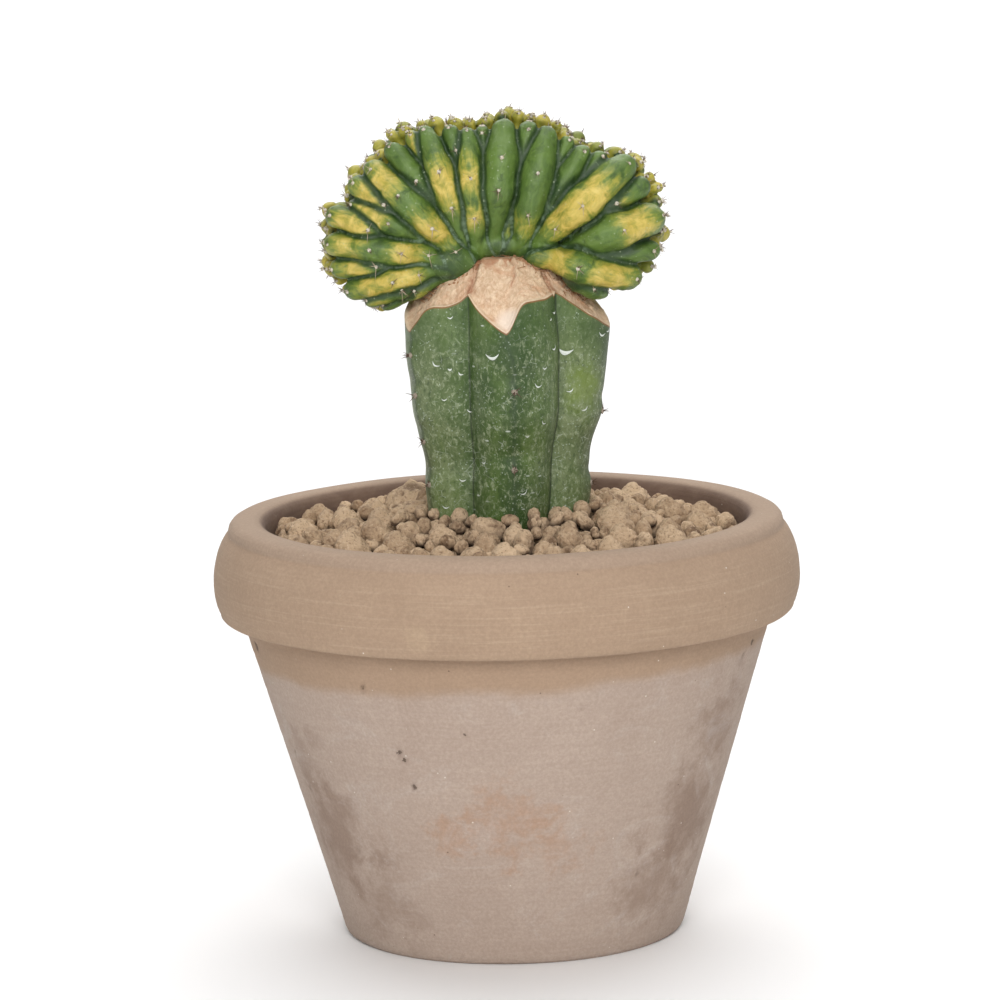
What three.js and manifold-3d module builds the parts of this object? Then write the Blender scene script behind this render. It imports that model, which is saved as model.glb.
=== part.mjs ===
// A grafted cactus in a clay pot: a fan-shaped crested scion that sits on the bevelled top
// of a five-ribbed rootstock, which stands in potting mix under a dressing of loose granules.
// Millimetres, +Z up. The origin is on the floor under the pot's axis, and -Y is the front.

import * as THREE from 'three';
import { mergeVertices } from 'three/addons/utils/BufferGeometryUtils.js';
import Module from 'manifold-3d';

const wasm = await Module();
wasm.setup();

// ---- Driving dimensions ----

// Clay pot
const POT_HEIGHT = 108;
const RIM_RADIUS = 75.1; // the collar's belly, the widest part of the pot
const COLLAR_HEIGHT = 24.5; // from the collar's underside to the crown of the rim
const COLLAR_PROUD = 6.9; // how far the belly stands out from the wall below the collar
const COLLAR_THICKNESS = 13.6; // from the belly in to the mouth
const BELLY_BELOW_CROWN = 16;
const LIP_INSET = 1.5; // the collar's lower lip lies this far in from the belly
const LIP_ROUND = 1.4;
const STEP_BELOW_CROWN = 3.5; // a shallow step runs round the crown of the rim
const STEP_DEPTH = 0.8;
const STEP_ROUND = 5;
const CROWN_WIDTH = 6.6; // from the mouth out to where the crown rounds over
const CROWN_ROUND = 3.2;
const BODY_FLARE = 0.2958; // outward lean of the wall, mm for each mm of height
const WALL = 8;
const FLOOR = 8;
const DRAIN_RADIUS = 10;
const FOOT_ROUND = 1.5;
const EDGE_ROUND = 3;
const INNER_CORNER = 4;
const POT_SEGMENTS = 64;

// Potting mix
const MIX_BELOW_RIM = 10.5; // at the wall
const MIX_MOUND = 5; // how much higher it stands at the stem
const SEAT_GAP = 0.3; // clearance between pieces that touch

// Rootstock
const STOCK_RIBS = 5;
const STOCK_TURN = THREE.MathUtils.degToRad(6.4); // front rib, turned from -Y towards +X
const STOCK_ABOVE_MIX = 72.5;
const STOCK_BURIED = 24;
const STOCK_SHOULDER_RADIUS = 27.2; // over the ribs, where the bevel starts
const STOCK_WAIST_RADIUS = 21.8; // over the ribs, at the mix
const STOCK_ROOT_RADIUS = 14; // over the ribs, at the buried end
const STOCK_ROOT_POINT = 2; // how far the blunt root comes to a point
const RIB_DEPTH = 6.8; // from rib crest to furrow at the shoulder
const RIB_ROUNDNESS = 1.6; // 1 is a flat-sided rib, 2 a round-backed one
const BEVEL_RISE = 1.32; // the cut shoulder climbs this much for each mm towards the axis
const GRAFT_RADIUS = 13.9; // the cut face that the crest grows on
const STOCK_COLUMNS = 60;
const STOCK_LEVELS = [0, 0.06, 0.14, 0.24, 0.36, 0.5, 0.64, 0.78, 0.9, 1]; // foot to bevel
const BEVEL_PASSES = 12; // rounds taken to find where the bevel meets the ribs

// Crest
const CREST_HALF_WIDTH = 43.2;
const CREST_HALF_HEIGHT = 26.8;
const CREST_HALF_DEPTH = 17.5;
const CREST_CENTRE_RISE = 8; // height of the outline's centre over the cut face
const CREST_HEART_RISE = 2.5; // height of the point that its ribs run from
const CREST_OFFSET = -2; // of the outline's centre, towards -X
const CREST_SQUARENESS = 2.3; // 2 is an ellipse, more is fuller at the corners
const CREST_RIBS = 34; // right round the outline
const CREST_RIB_RELIEF = 3.4; // from rib to furrow near the growing edge
const CREST_EDGE_FURROW = 1.2; // depth of the furrow along the growing edge
const CREST_EDGE_SHARPNESS = 0.8; // below 1 the fan stays wide towards its faces
const CREST_FACE_FULLNESS = 0.9; // below 1 the faces are fuller
const CREST_FURROW_WIDTH = 0.2; // radians of latitude
const CREST_COLUMNS = CREST_RIBS * 4;
const CREST_ROWS = 13;

// Granules of the top dressing
const GRANULE_COUNT = 46;
const GRANULE_SMALLEST = 9.5;
const GRANULE_LARGEST = 12.5;
const GRANULE_ROUGHNESS = 0.13; // share of the radius that a corner may lose
const GRANULE_NARROWEST = 0.8; // breadth as a share of the length
const GRANULE_FLATTEST = 0.72; // height as a share of the length
const GRANULE_VARIATION = 0.2;
const GRANULE_TILT = 0.6; // radians at most

// ---- Derived dimensions ----

const collarZ = POT_HEIGHT - COLLAR_HEIGHT;
const neckRadius = RIM_RADIUS - COLLAR_PROUD;
const mouthRadius = RIM_RADIUS - COLLAR_THICKNESS;
const wallRadius = (z) => neckRadius + (z - collarZ) * BODY_FLARE;
const innerRadius = (z) => Math.min(wallRadius(z) - WALL, mouthRadius);
const mouthStartZ = collarZ + (mouthRadius + WALL - neckRadius) / BODY_FLARE;

const mixWallZ = POT_HEIGHT - MIX_BELOW_RIM;
const mixStemZ = mixWallZ + MIX_MOUND;
const mixRadius = innerRadius(mixWallZ) - SEAT_GAP;
const mixSurfaceZ = (r) => {
  const outward = (r - STOCK_WAIST_RADIUS) / (mixRadius - STOCK_WAIST_RADIUS);
  return mixStemZ - MIX_MOUND * THREE.MathUtils.clamp(outward, 0, 1);
};

const graftZ = mixStemZ + STOCK_ABOVE_MIX;
const shoulderZ = graftZ - (STOCK_SHOULDER_RADIUS - GRAFT_RADIUS) * BEVEL_RISE;
const stockFootZ = mixStemZ - STOCK_BURIED;

// ---- Small helpers ----

// A repeatable stream of numbers from 0 to 1.
function randomStream(seed) {
  let state = seed;
  return () => {
    state = (state * 1664525 + 1013904223) % 4294967296;
    return state / 4294967296;
  };
}

// A closed geometry from rings of points with equal counts, capped at both ends by a point.
function skin(rings, bottom, top) {
  const columns = rings[0].length;
  const positions = [bottom, ...rings.flat(), top].flatMap((p) => [p.x, p.y, p.z]);
  const topIndex = positions.length / 3 - 1;
  const indices = [];
  for (let c = 0; c < columns; c++) {
    const d = (c + 1) % columns;
    indices.push(0, 1 + d, 1 + c);
    for (let ring = 0; ring + 1 < rings.length; ring++) {
      const low = 1 + ring * columns;
      const high = low + columns;
      indices.push(low + c, low + d, high + d, low + c, high + d, high + c);
    }
    const last = 1 + (rings.length - 1) * columns;
    indices.push(last + c, last + d, topIndex);
  }
  const geometry = new THREE.BufferGeometry();
  geometry.setAttribute('position', new THREE.Float32BufferAttribute(positions, 3));
  geometry.setIndex(indices);
  return geometry;
}

// A turned geometry, its profile drawn as radius and height, set upright along Z.
function turned(profile, segments) {
  const geometry = new THREE.LatheGeometry(profile, segments);
  geometry.rotateX(Math.PI / 2);
  return geometry;
}

// A copy that keeps only the positions, so that equal corners can be merged.
function bareCopy(geometry) {
  const bare = geometry.clone();
  bare.deleteAttribute('normal');
  bare.deleteAttribute('uv');
  return bare;
}

function solidOf(geometry) {
  const merged = mergeVertices(bareCopy(geometry), 1e-4);
  const corners = merged.index.array;
  const kept = [];
  for (let i = 0; i < corners.length; i += 3) {
    const [a, b, c] = corners.slice(i, i + 3);
    if (a !== b && b !== c && c !== a) {
      kept.push(a, b, c);
    }
  }
  return new wasm.Manifold(new wasm.Mesh({
    numProp: 3,
    vertProperties: new Float32Array(merged.getAttribute('position').array),
    triVerts: new Uint32Array(kept),
  }));
}

function geometryOf(solid) {
  const mesh = solid.getMesh();
  const geometry = new THREE.BufferGeometry();
  geometry.setAttribute('position', new THREE.BufferAttribute(mesh.vertProperties, 3));
  geometry.setIndex(new THREE.BufferAttribute(mesh.triVerts, 1));
  return geometry;
}

function piece(name, geometry, material) {
  geometry.computeVertexNormals();
  const mesh = new THREE.Mesh(geometry, material);
  mesh.name = name;
  return mesh;
}

// ---- Clay pot ----

// A tapered pot with a thick rolled collar that overhangs the body, a shallow step round the
// crown of the rim, and a drain hole through the floor.
function potGeometry() {
  const bellyZ = POT_HEIGHT - BELLY_BELOW_CROWN;
  const stepZ = POT_HEIGHT - STEP_BELOW_CROWN;
  const lipRadius = RIM_RADIUS - LIP_INSET;
  const crownRadius = mouthRadius + CROWN_WIDTH;
  const stepRadius = crownRadius + CROWN_ROUND;
  const crownEdge = stepRadius - STEP_DEPTH;
  const floorRadius = innerRadius(FLOOR);

  const outline = new THREE.Path();
  outline.moveTo(DRAIN_RADIUS, 0);
  outline.lineTo(wallRadius(0) - FOOT_ROUND, 0);
  outline.quadraticCurveTo(wallRadius(0), 0, wallRadius(FOOT_ROUND), FOOT_ROUND);
  outline.lineTo(neckRadius, collarZ);
  outline.lineTo(lipRadius - LIP_ROUND, collarZ);
  outline.quadraticCurveTo(lipRadius, collarZ, lipRadius, collarZ + LIP_ROUND);
  outline.quadraticCurveTo(RIM_RADIUS, bellyZ - STEP_ROUND, RIM_RADIUS, bellyZ);
  outline.quadraticCurveTo(RIM_RADIUS, stepZ - STEP_ROUND, stepRadius, stepZ);
  outline.lineTo(crownEdge, stepZ);
  outline.quadraticCurveTo(crownEdge, POT_HEIGHT, crownRadius, POT_HEIGHT);
  outline.lineTo(mouthRadius + EDGE_ROUND, POT_HEIGHT);
  outline.quadraticCurveTo(mouthRadius, POT_HEIGHT, mouthRadius, POT_HEIGHT - EDGE_ROUND);
  outline.lineTo(mouthRadius, mouthStartZ);
  outline.lineTo(innerRadius(FLOOR + INNER_CORNER), FLOOR + INNER_CORNER);
  outline.quadraticCurveTo(floorRadius, FLOOR, floorRadius - INNER_CORNER, FLOOR);
  outline.lineTo(DRAIN_RADIUS, FLOOR);
  outline.closePath();
  return turned(outline.getPoints(4), POT_SEGMENTS);
}

// ---- Rootstock ----

// Radius of the column at a height and an angle from the front rib: round-backed ribs that
// meet in sharp furrows. The buried end tapers to a blunt root.
function stockRadius(z, angle) {
  const clear = THREE.MathUtils.smoothstep(z, mixStemZ, shoulderZ);
  const buried = THREE.MathUtils.clamp((mixStemZ - z) / STOCK_BURIED, 0, 1);
  const overRibs = STOCK_WAIST_RADIUS
    + (STOCK_SHOULDER_RADIUS - STOCK_WAIST_RADIUS) * clear
    - (STOCK_WAIST_RADIUS - STOCK_ROOT_RADIUS) * buried ** 2;
  const sector = (2 * Math.PI) / STOCK_RIBS;
  const fromRib = Math.abs(angle - sector * Math.round(angle / sector)) / (sector / 2);
  return overRibs - RIB_DEPTH * (overRibs / STOCK_SHOULDER_RADIUS) * fromRib ** RIB_ROUNDNESS;
}

// The whole stock, or with grow above zero the space that it needs in the mix.
function stockGeometry(grow) {
  const point = (angle, radius, z) => {
    const turn = angle + STOCK_TURN;
    return new THREE.Vector3(Math.sin(turn) * radius, -Math.cos(turn) * radius, z);
  };
  const bevelZ = (radius) => graftZ - (radius - GRAFT_RADIUS) * BEVEL_RISE;
  const edge = Array.from({ length: STOCK_COLUMNS }, (_, c) => {
    const angle = (c / STOCK_COLUMNS) * 2 * Math.PI;
    let z = shoulderZ;
    for (let pass = 0; pass < BEVEL_PASSES; pass++) {
      z = bevelZ(stockRadius(z, angle));
    }
    return { angle, z };
  });
  const rings = STOCK_LEVELS.map((share) => edge.map(({ angle, z }) => {
    const height = stockFootZ + (z - stockFootZ) * share;
    return point(angle, stockRadius(height, angle) + grow, height - (share === 0 ? grow : 0));
  }));
  rings.push(edge.map(({ angle }) => point(angle, GRAFT_RADIUS + grow, graftZ)));
  const foot = new THREE.Vector3(0, 0, stockFootZ - STOCK_ROOT_POINT - grow);
  return skin(rings, foot, new THREE.Vector3(0, 0, graftZ));
}

// ---- Potting mix ----

// Fills the pot from the floor up, with a socket where the stock is planted.
function mixGeometry() {
  const bottom = FLOOR + SEAT_GAP;
  const cornerZ = FLOOR + INNER_CORNER;
  const profile = [
    new THREE.Vector2(0, bottom),
    new THREE.Vector2(innerRadius(FLOOR) - INNER_CORNER - SEAT_GAP, bottom),
    new THREE.Vector2(innerRadius(cornerZ) - SEAT_GAP, cornerZ),
    new THREE.Vector2(mouthRadius - SEAT_GAP, mouthStartZ),
    new THREE.Vector2(mixRadius, mixWallZ),
    new THREE.Vector2(STOCK_WAIST_RADIUS, mixStemZ),
    new THREE.Vector2(0, mixStemZ),
  ];
  const fill = solidOf(turned(profile, POT_SEGMENTS));
  return geometryOf(fill.subtract(solidOf(stockGeometry(SEAT_GAP))));
}

// ---- Crest ----

// The space kept clear for the stock's bevelled top, on which the crest sits.
function stockClearance() {
  const ribs = STOCK_SHOULDER_RADIUS + SEAT_GAP;
  return turned([
    new THREE.Vector2(0, stockFootZ),
    new THREE.Vector2(ribs, stockFootZ),
    new THREE.Vector2(ribs, shoulderZ + SEAT_GAP),
    new THREE.Vector2(GRAFT_RADIUS + SEAT_GAP, graftZ + SEAT_GAP),
    new THREE.Vector2(0, graftZ + SEAT_GAP),
  ], POT_SEGMENTS);
}

// Half the fan's outline size in the direction of an angle from +Z towards +X.
function crestReach(angle) {
  const across = Math.abs(Math.sin(angle) / CREST_HALF_WIDTH) ** CREST_SQUARENESS;
  const upward = Math.abs(Math.cos(angle) / CREST_HALF_HEIGHT) ** CREST_SQUARENESS;
  return (across + upward) ** (-1 / CREST_SQUARENESS);
}

// A flattened fan whose round-backed ribs run from its heart, just over the cut, out to the
// growing edge. The ribs of the back are set half a step from those of the front, and a slight
// furrow follows the growing edge.
function crestGeometry() {
  const heart = (side) => new THREE.Vector3(0, side * CREST_HALF_DEPTH, graftZ + CREST_HEART_RISE);
  const rows = Array.from({ length: CREST_ROWS }, (_, row) => {
    const latitude = Math.PI * ((row + 1) / (CREST_ROWS + 1) - 0.5);
    const outward = Math.cos(latitude) ** CREST_EDGE_SHARPNESS;
    const sideways = Math.sign(latitude) * Math.abs(Math.sin(latitude)) ** CREST_FACE_FULLNESS;
    const edgeDip = CREST_EDGE_FURROW * Math.exp(-((latitude / CREST_FURROW_WIDTH) ** 2));
    return Array.from({ length: CREST_COLUMNS }, (_, column) => {
      const angle = (column / CREST_COLUMNS) * 2 * Math.PI;
      const step = (CREST_RIBS * column) / CREST_COLUMNS + (latitude < 0 ? 0 : 0.5);
      const fromRib = Math.abs(step - Math.round(step)) * 2;
      const relief = CREST_RIB_RELIEF * outward * (0.5 - fromRib ** RIB_ROUNDNESS);
      const reach = crestReach(angle) + relief - edgeDip;
      const edge = new THREE.Vector3(
        CREST_OFFSET + Math.sin(angle) * reach,
        0,
        graftZ + CREST_CENTRE_RISE + Math.cos(angle) * reach,
      );
      const point = heart(0).lerp(edge, outward);
      point.y = sideways * (CREST_HALF_DEPTH + relief);
      return point;
    });
  });
  const fan = solidOf(skin(rows, heart(-1), heart(1)));
  return geometryOf(fan.subtract(solidOf(stockClearance())));
}

// ---- Granules ----

// One lump of expanded clay: a jittered, slightly flattened twelve-sided ball that rests on
// the mix at the given place.
function granuleGeometry(place, size, random) {
  const lump = mergeVertices(bareCopy(new THREE.DodecahedronGeometry(size / 2)), 1e-4);
  const corners = lump.getAttribute('position');
  const corner = new THREE.Vector3();
  const breadth = GRANULE_NARROWEST + GRANULE_VARIATION * random();
  const squash = new THREE.Vector3(1, breadth, GRANULE_FLATTEST + GRANULE_VARIATION * random());
  const [tiltX, tiltY] = [random() * GRANULE_TILT, random() * GRANULE_TILT];
  const turn = new THREE.Euler(tiltX, tiltY, random() * 2 * Math.PI);
  let clearance = Infinity;
  for (let i = 0; i < corners.count; i++) {
    corner.fromBufferAttribute(corners, i);
    corner.multiplyScalar(1 - GRANULE_ROUGHNESS * random());
    corner.multiply(squash).applyEuler(turn).add(place);
    corners.setXYZ(i, corner.x, corner.y, corner.z);
    clearance = Math.min(clearance, corner.z - mixSurfaceZ(Math.hypot(corner.x, corner.y)));
  }
  lump.translate(0, 0, SEAT_GAP - clearance);
  return lump;
}

// Where the granules lie: a sunflower spiral that spreads them evenly between stem and wall.
function granulePlaces() {
  const goldenAngle = Math.PI * (3 - Math.sqrt(5));
  const nearest = STOCK_WAIST_RADIUS + GRANULE_LARGEST / 2 + SEAT_GAP;
  const furthest = mouthRadius - GRANULE_LARGEST / 2 - SEAT_GAP;
  return Array.from({ length: GRANULE_COUNT }, (_, i) => {
    const share = (i + 0.5) / GRANULE_COUNT;
    const radius = Math.sqrt(nearest ** 2 + (furthest ** 2 - nearest ** 2) * share);
    const angle = i * goldenAngle;
    return new THREE.Vector3(Math.cos(angle) * radius, Math.sin(angle) * radius, mixStemZ);
  });
}

// ---- Materials ----

const clay = new THREE.MeshStandardMaterial({ color: 0xa8917a, roughness: 0.92, metalness: 0 });
const soil = new THREE.MeshStandardMaterial({ color: 0x7d6a52, roughness: 1, metalness: 0 });
const stem = new THREE.MeshStandardMaterial({ color: 0x3f6a45, roughness: 0.55, metalness: 0 });
const fan = new THREE.MeshStandardMaterial({ color: 0x6f8f3a, roughness: 0.5, metalness: 0 });
const grit = new THREE.MeshStandardMaterial({ color: 0xb09a7c, roughness: 0.95, metalness: 0 });

// ---- Assembly ----

const group = new THREE.Group();
group.add(piece('clay_pot', potGeometry(), clay));
group.add(piece('potting_mix', mixGeometry(), soil));
group.add(piece('rootstock', stockGeometry(0), stem));
group.add(piece('crest', crestGeometry(), fan));

const random = randomStream(7);
granulePlaces().forEach((place, i) => {
  const size = GRANULE_SMALLEST + (GRANULE_LARGEST - GRANULE_SMALLEST) * random();
  const name = `granule_${String(i + 1).padStart(2, '0')}`;
  group.add(piece(name, granuleGeometry(place, size, random), grit));
});

export default group;
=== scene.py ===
# A crested, variegated cactus grafted on a five-ribbed rootstock, in a tapered clay pot with a
# rolled rim, under a dressing of loose clay granules. Metres, +Z up, the front towards -Y.
import math
from random import Random
import bmesh
import bpy
import numpy as np
from mathutils import Euler, Matrix, Vector
from mathutils.bvhtree import BVHTree


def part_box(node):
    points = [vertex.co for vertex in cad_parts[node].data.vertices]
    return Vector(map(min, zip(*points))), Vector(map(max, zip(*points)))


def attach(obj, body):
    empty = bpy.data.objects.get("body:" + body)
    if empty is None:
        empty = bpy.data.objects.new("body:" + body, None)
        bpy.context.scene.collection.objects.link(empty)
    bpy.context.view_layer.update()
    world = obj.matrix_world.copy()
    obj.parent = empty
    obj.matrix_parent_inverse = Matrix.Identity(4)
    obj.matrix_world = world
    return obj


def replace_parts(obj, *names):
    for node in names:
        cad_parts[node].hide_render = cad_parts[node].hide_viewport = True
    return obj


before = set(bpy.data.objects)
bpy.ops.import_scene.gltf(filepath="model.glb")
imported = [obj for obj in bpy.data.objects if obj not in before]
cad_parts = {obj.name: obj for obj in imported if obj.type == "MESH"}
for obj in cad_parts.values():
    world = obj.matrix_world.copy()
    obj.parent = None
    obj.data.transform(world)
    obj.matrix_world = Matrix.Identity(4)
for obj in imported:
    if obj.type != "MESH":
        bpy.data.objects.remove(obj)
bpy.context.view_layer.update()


# ---- Studio ----
# A long lens looks slightly down on the plant as it stands on a white table. One large soft
# panel above the camera does most of the work, with weaker ones overhead and at the sides and
# a bright one over the far end of the table.

def studio(name, colour, roughness):
    finish = bpy.data.materials.new(name)
    finish.use_nodes = True
    shader = finish.node_tree.nodes["Principled BSDF"]
    shader.inputs["Base Color"].default_value = colour
    shader.inputs["Roughness"].default_value = roughness
    return finish


camera_distance = 1.250
camera_height = 0.3143
camera_turn = math.radians(0.063)
camera_down = math.radians(9.225)
camera_roll = math.radians(-1.283)
lens = bpy.data.cameras.new("long_lens")
lens.lens = 178
lens.sensor_width = 36
lens.clip_end = 50
camera = bpy.data.objects.new("camera", lens)
camera.matrix_world = (
    Matrix.Translation((0, -camera_distance, camera_height))
    @ Matrix.Rotation(camera_turn, 4, "Z")
    @ Matrix.Rotation(math.radians(90) - camera_down, 4, "X")
    @ Matrix.Rotation(camera_roll, 4, "Z")
)
bpy.context.scene.collection.objects.link(camera)
bpy.context.scene.camera = camera

table_size = 14
table_mesh = bpy.data.meshes.new("table")
half = table_size / 2
table_mesh.from_pydata(
    [(-half, -half, 0), (half, -half, 0), (half, half, 0), (-half, half, 0)], [], [(0, 1, 2, 3)]
)
table = bpy.data.objects.new("table", table_mesh)
table_mesh.materials.append(studio("white_table", (0.95, 0.95, 0.95, 1), 0.7))
bpy.context.scene.collection.objects.link(table)

# name, place, size across and down, watts
panels = [
    ("top_panel", (0.1, 0.1, 1.4), (1.3, 1.3), 10),
    ("left_panel", (-1.4, -0.3, 0.7), (0.7, 1.0), 0.5),
    ("right_panel", (1.4, -0.3, 0.7), (0.7, 1.0), 0.3),
    ("front_panel", (0.0, -1.75, 0.95), (0.9, 0.8), 23.5),
    ("far_panel", (0, 4.2, 2.6), (6, 4), 230),
]
for name, place, (across, down), watts in panels:
    light = bpy.data.lights.new(name, "AREA")
    light.shape = "RECTANGLE"
    light.size = across
    light.size_y = down
    light.energy = watts
    panel = bpy.data.objects.new(name, light)
    panel.location = place
    if name != "far_panel":
        aim = Vector((0, 0, 0.11)) - Vector(place)
        panel.rotation_euler = aim.to_track_quat("-Z", "Y").to_euler()
    bpy.context.scene.collection.objects.link(panel)

tent = bpy.data.worlds.new("white_tent")
tent.use_nodes = True
tent.node_tree.nodes["Background"].inputs["Color"].default_value = (1, 1, 1, 1)
tent.node_tree.nodes["Background"].inputs["Strength"].default_value = 0.26
bpy.context.scene.world = tent
bpy.context.scene.view_settings.view_transform = "Standard"


# ---- Clay pot ----
# Thrown earthenware in one piece: a tapered body, a thick rolled collar with a small step under
# the crown, and a drain hole. Unglazed, with fine turning lines, a pale bloom of salts over the
# body, brown damp stains and a few pits.

mm = 0.001


def shade(red, green, blue):
    """A paint-chart colour, 0 to 255, as the linear colour that a finish takes."""
    parts = [c / 255 for c in (red, green, blue)]
    return tuple(c / 12.92 if c <= 0.04045 else ((c + 0.055) / 1.055) ** 2.4 for c in parts) + (1,)


def cloud(points, size, seed=0, octaves=3):
    """Soft random lumps about as large as size, from -1 to 1, at each of the points."""
    total = np.zeros(len(points))
    for octave in range(octaves):
        grid = points * (2 ** octave / size) + 31.7 * (seed + 1)
        cell = np.floor(grid).astype(np.int64)
        part = grid - cell
        part = part * part * (3 - 2 * part)
        lump = np.zeros(len(points))
        for corner in range(8):
            step = np.array([(corner >> axis) & 1 for axis in range(3)])
            key = (cell + step) * np.array([73856093, 19349663, 83492791])
            key = key[:, 0] ^ key[:, 1] ^ key[:, 2]
            key = ((key ^ (key >> 13)) * 1274126177) & 0xFFFFFFFF
            key = ((key ^ (key >> 15)) * 668265263) & 0xFFFFFFFF
            share = np.prod(np.where(step, part, 1 - part), axis=1)
            lump += share * (key / 2 ** 31 - 1)
        total += lump / 2 ** octave
    return total


def mesh_piece(name, points, faces):
    """A new piece of the model from its points and faces."""
    mesh = bpy.data.meshes.new(name)
    mesh.from_pydata([tuple(p) for p in points], [], [tuple(f) for f in faces])
    mesh.update()
    mesh.polygons.foreach_set("use_smooth", [True] * len(mesh.polygons))
    made = bpy.data.objects.new(name, mesh)
    bpy.context.scene.collection.objects.link(made)
    return made


def measure(piece, name, values):
    """Writes one number for each point of a piece, which its finish can read by name."""
    layer = piece.data.attributes.new(name, "FLOAT", "POINT")
    layer.data.foreach_set("value", np.asarray(values, dtype=np.float32))


class Finish:
    """A finish under construction: node by node, ending in one shader."""

    def __init__(self, name, roughness):
        self.made = bpy.data.materials.new(name)
        self.made.use_nodes = True
        self.nodes = self.made.node_tree.nodes
        self.shader = self.nodes["Principled BSDF"]
        self.shader.inputs["Roughness"].default_value = roughness
        self.place = self.nodes.new("ShaderNodeTexCoord").outputs["Object"]

    def feed(self, socket, value):
        if isinstance(value, bpy.types.NodeSocket):
            self.made.node_tree.links.new(value, socket)
        else:
            socket.default_value = value

    def stretched(self, x, y, z):
        node = self.nodes.new("ShaderNodeVectorMath")
        node.operation = "MULTIPLY"
        self.feed(node.inputs[0], self.place)
        node.inputs[1].default_value = (x, y, z)
        return node.outputs[0]

    def noise(self, size, detail=4, rough=0.55, twist=0.0, place=None):
        node = self.nodes.new("ShaderNodeTexNoise")
        self.feed(node.inputs["Vector"], place or self.place)
        node.inputs["Scale"].default_value = 1 / size
        node.inputs["Detail"].default_value = detail
        node.inputs["Roughness"].default_value = rough
        node.inputs["Distortion"].default_value = twist
        return node.outputs["Fac"]

    def cells(self, size, feature="F1", place=None):
        node = self.nodes.new("ShaderNodeTexVoronoi")
        node.feature = feature
        self.feed(node.inputs["Vector"], place or self.place)
        node.inputs["Scale"].default_value = 1 / size
        return node.outputs["Distance"]

    def read(self, name):
        node = self.nodes.new("ShaderNodeAttribute")
        node.attribute_name = name
        return node.outputs["Fac"]

    def axis(self, name):
        node = self.nodes.new("ShaderNodeSeparateXYZ")
        self.feed(node.inputs[0], self.place)
        return node.outputs[name]

    def away_from(self, point):
        node = self.nodes.new("ShaderNodeVectorMath")
        node.operation = "DISTANCE"
        self.feed(node.inputs[0], self.place)
        node.inputs[1].default_value = point
        return node.outputs["Value"]

    def reckon(self, operation, a, b):
        node = self.nodes.new("ShaderNodeMath")
        node.operation = operation
        self.feed(node.inputs[0], a)
        self.feed(node.inputs[1], b)
        return node.outputs[0]

    def plus(self, a, b):
        return self.reckon("ADD", a, b)

    def minus(self, a, b):
        return self.reckon("SUBTRACT", a, b)

    def times(self, first, *others):
        for other in others:
            first = self.reckon("MULTIPLY", first, other)
        return first

    def window(self, value, low, high, to_low=0.0, to_high=1.0):
        node = self.nodes.new("ShaderNodeMapRange")
        node.interpolation_type = "SMOOTHSTEP"
        self.feed(node.inputs["Value"], value)
        node.inputs["From Min"].default_value = low
        node.inputs["From Max"].default_value = high
        node.inputs["To Min"].default_value = to_low
        node.inputs["To Max"].default_value = to_high
        return node.outputs["Result"]

    def mix(self, amount, under, over):
        node = self.nodes.new("ShaderNodeMix")
        node.data_type = "RGBA"
        self.feed(node.inputs[0], amount)
        self.feed(node.inputs[6], under)
        self.feed(node.inputs[7], over)
        return node.outputs[2]

    def raised(self, height, depth, under=None):
        node = self.nodes.new("ShaderNodeBump")
        node.inputs["Strength"].default_value = 1.0
        node.inputs["Distance"].default_value = depth
        self.feed(node.inputs["Height"], height)
        if under is not None:
            self.feed(node.inputs["Normal"], under)
        return node.outputs["Normal"]

    def finished(self, colour, normal=None, roughness=None):
        self.feed(self.shader.inputs["Base Color"], colour)
        if normal is not None:
            self.feed(self.shader.inputs["Normal"], normal)
        if roughness is not None:
            self.feed(self.shader.inputs["Roughness"], roughness)
        return self.made


_, pot_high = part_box("clay_pot")
rim = pot_high.x
crown = pot_high.z
neck = rim - 6.9 * mm
mouth = rim - 13.6 * mm
collar = crown - 24.5 * mm
flare = 0.2958
drain = 10 * mm
floor_top = 8 * mm
foot = neck - collar * flare
lip = rim - 1.5 * mm
step = crown - 3.5 * mm
belly = crown - 16 * mm

# Each stretch of the outline ends at a radius and a height; a bend also has a corner to round.
pot_outline = [
    ((foot - 1.6 * mm, 0),),
    ((foot, 0), (foot + 0.5 * mm, 1.7 * mm)),
    ((neck, collar),),
    ((neck, collar + 0.5 * mm), (neck + 0.8 * mm, collar + 0.4 * mm)),
    ((lip - 1.2 * mm, collar - 0.1 * mm),),
    ((lip, collar - 0.1 * mm), (lip, collar + 1.2 * mm)),
    ((rim - 0.1 * mm, belly - 4.5 * mm), (rim, belly - 0.5 * mm)),
    ((rim, step - 5.5 * mm), (rim - 3.2 * mm, step - 0.7 * mm)),
    ((rim - 4.2 * mm, step), (rim - 4 * mm, step + 0.9 * mm)),
    ((rim - 4.2 * mm, crown - 0.3 * mm), (rim - 7 * mm, crown)),
    ((rim - 10.3 * mm, crown),),
    ((mouth, crown), (mouth, crown - 3.4 * mm)),
    ((mouth, collar + 4.5 * mm),),
    ((foot + flare * 12 * mm - 8 * mm, floor_top + 4 * mm),),
    ((foot + flare * 8 * mm - 8 * mm, floor_top), (foot - 10 * mm, floor_top)),
    ((drain + 0.8 * mm, floor_top),),
    ((drain, floor_top), (drain, floor_top - 0.8 * mm)),
    ((drain, 1 * mm),),
    ((drain, 0), (drain + 1 * mm, 0)),
]


def traced(outline, spacing):
    """The outline's points, about evenly spaced, as radius and height; it closes on itself."""
    here = np.array(outline[-1][-1])
    points = []
    for stretch in outline:
        end = np.array(stretch[-1])
        corner = np.array(stretch[0]) if len(stretch) == 2 else (here + end) / 2
        count = max(3, round(np.linalg.norm(end - here) / spacing))
        for i in range(count):
            t = i / count
            points.append((1 - t) ** 2 * here + 2 * t * (1 - t) * corner + t ** 2 * end)
        here = end
    return np.array(points)


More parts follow.
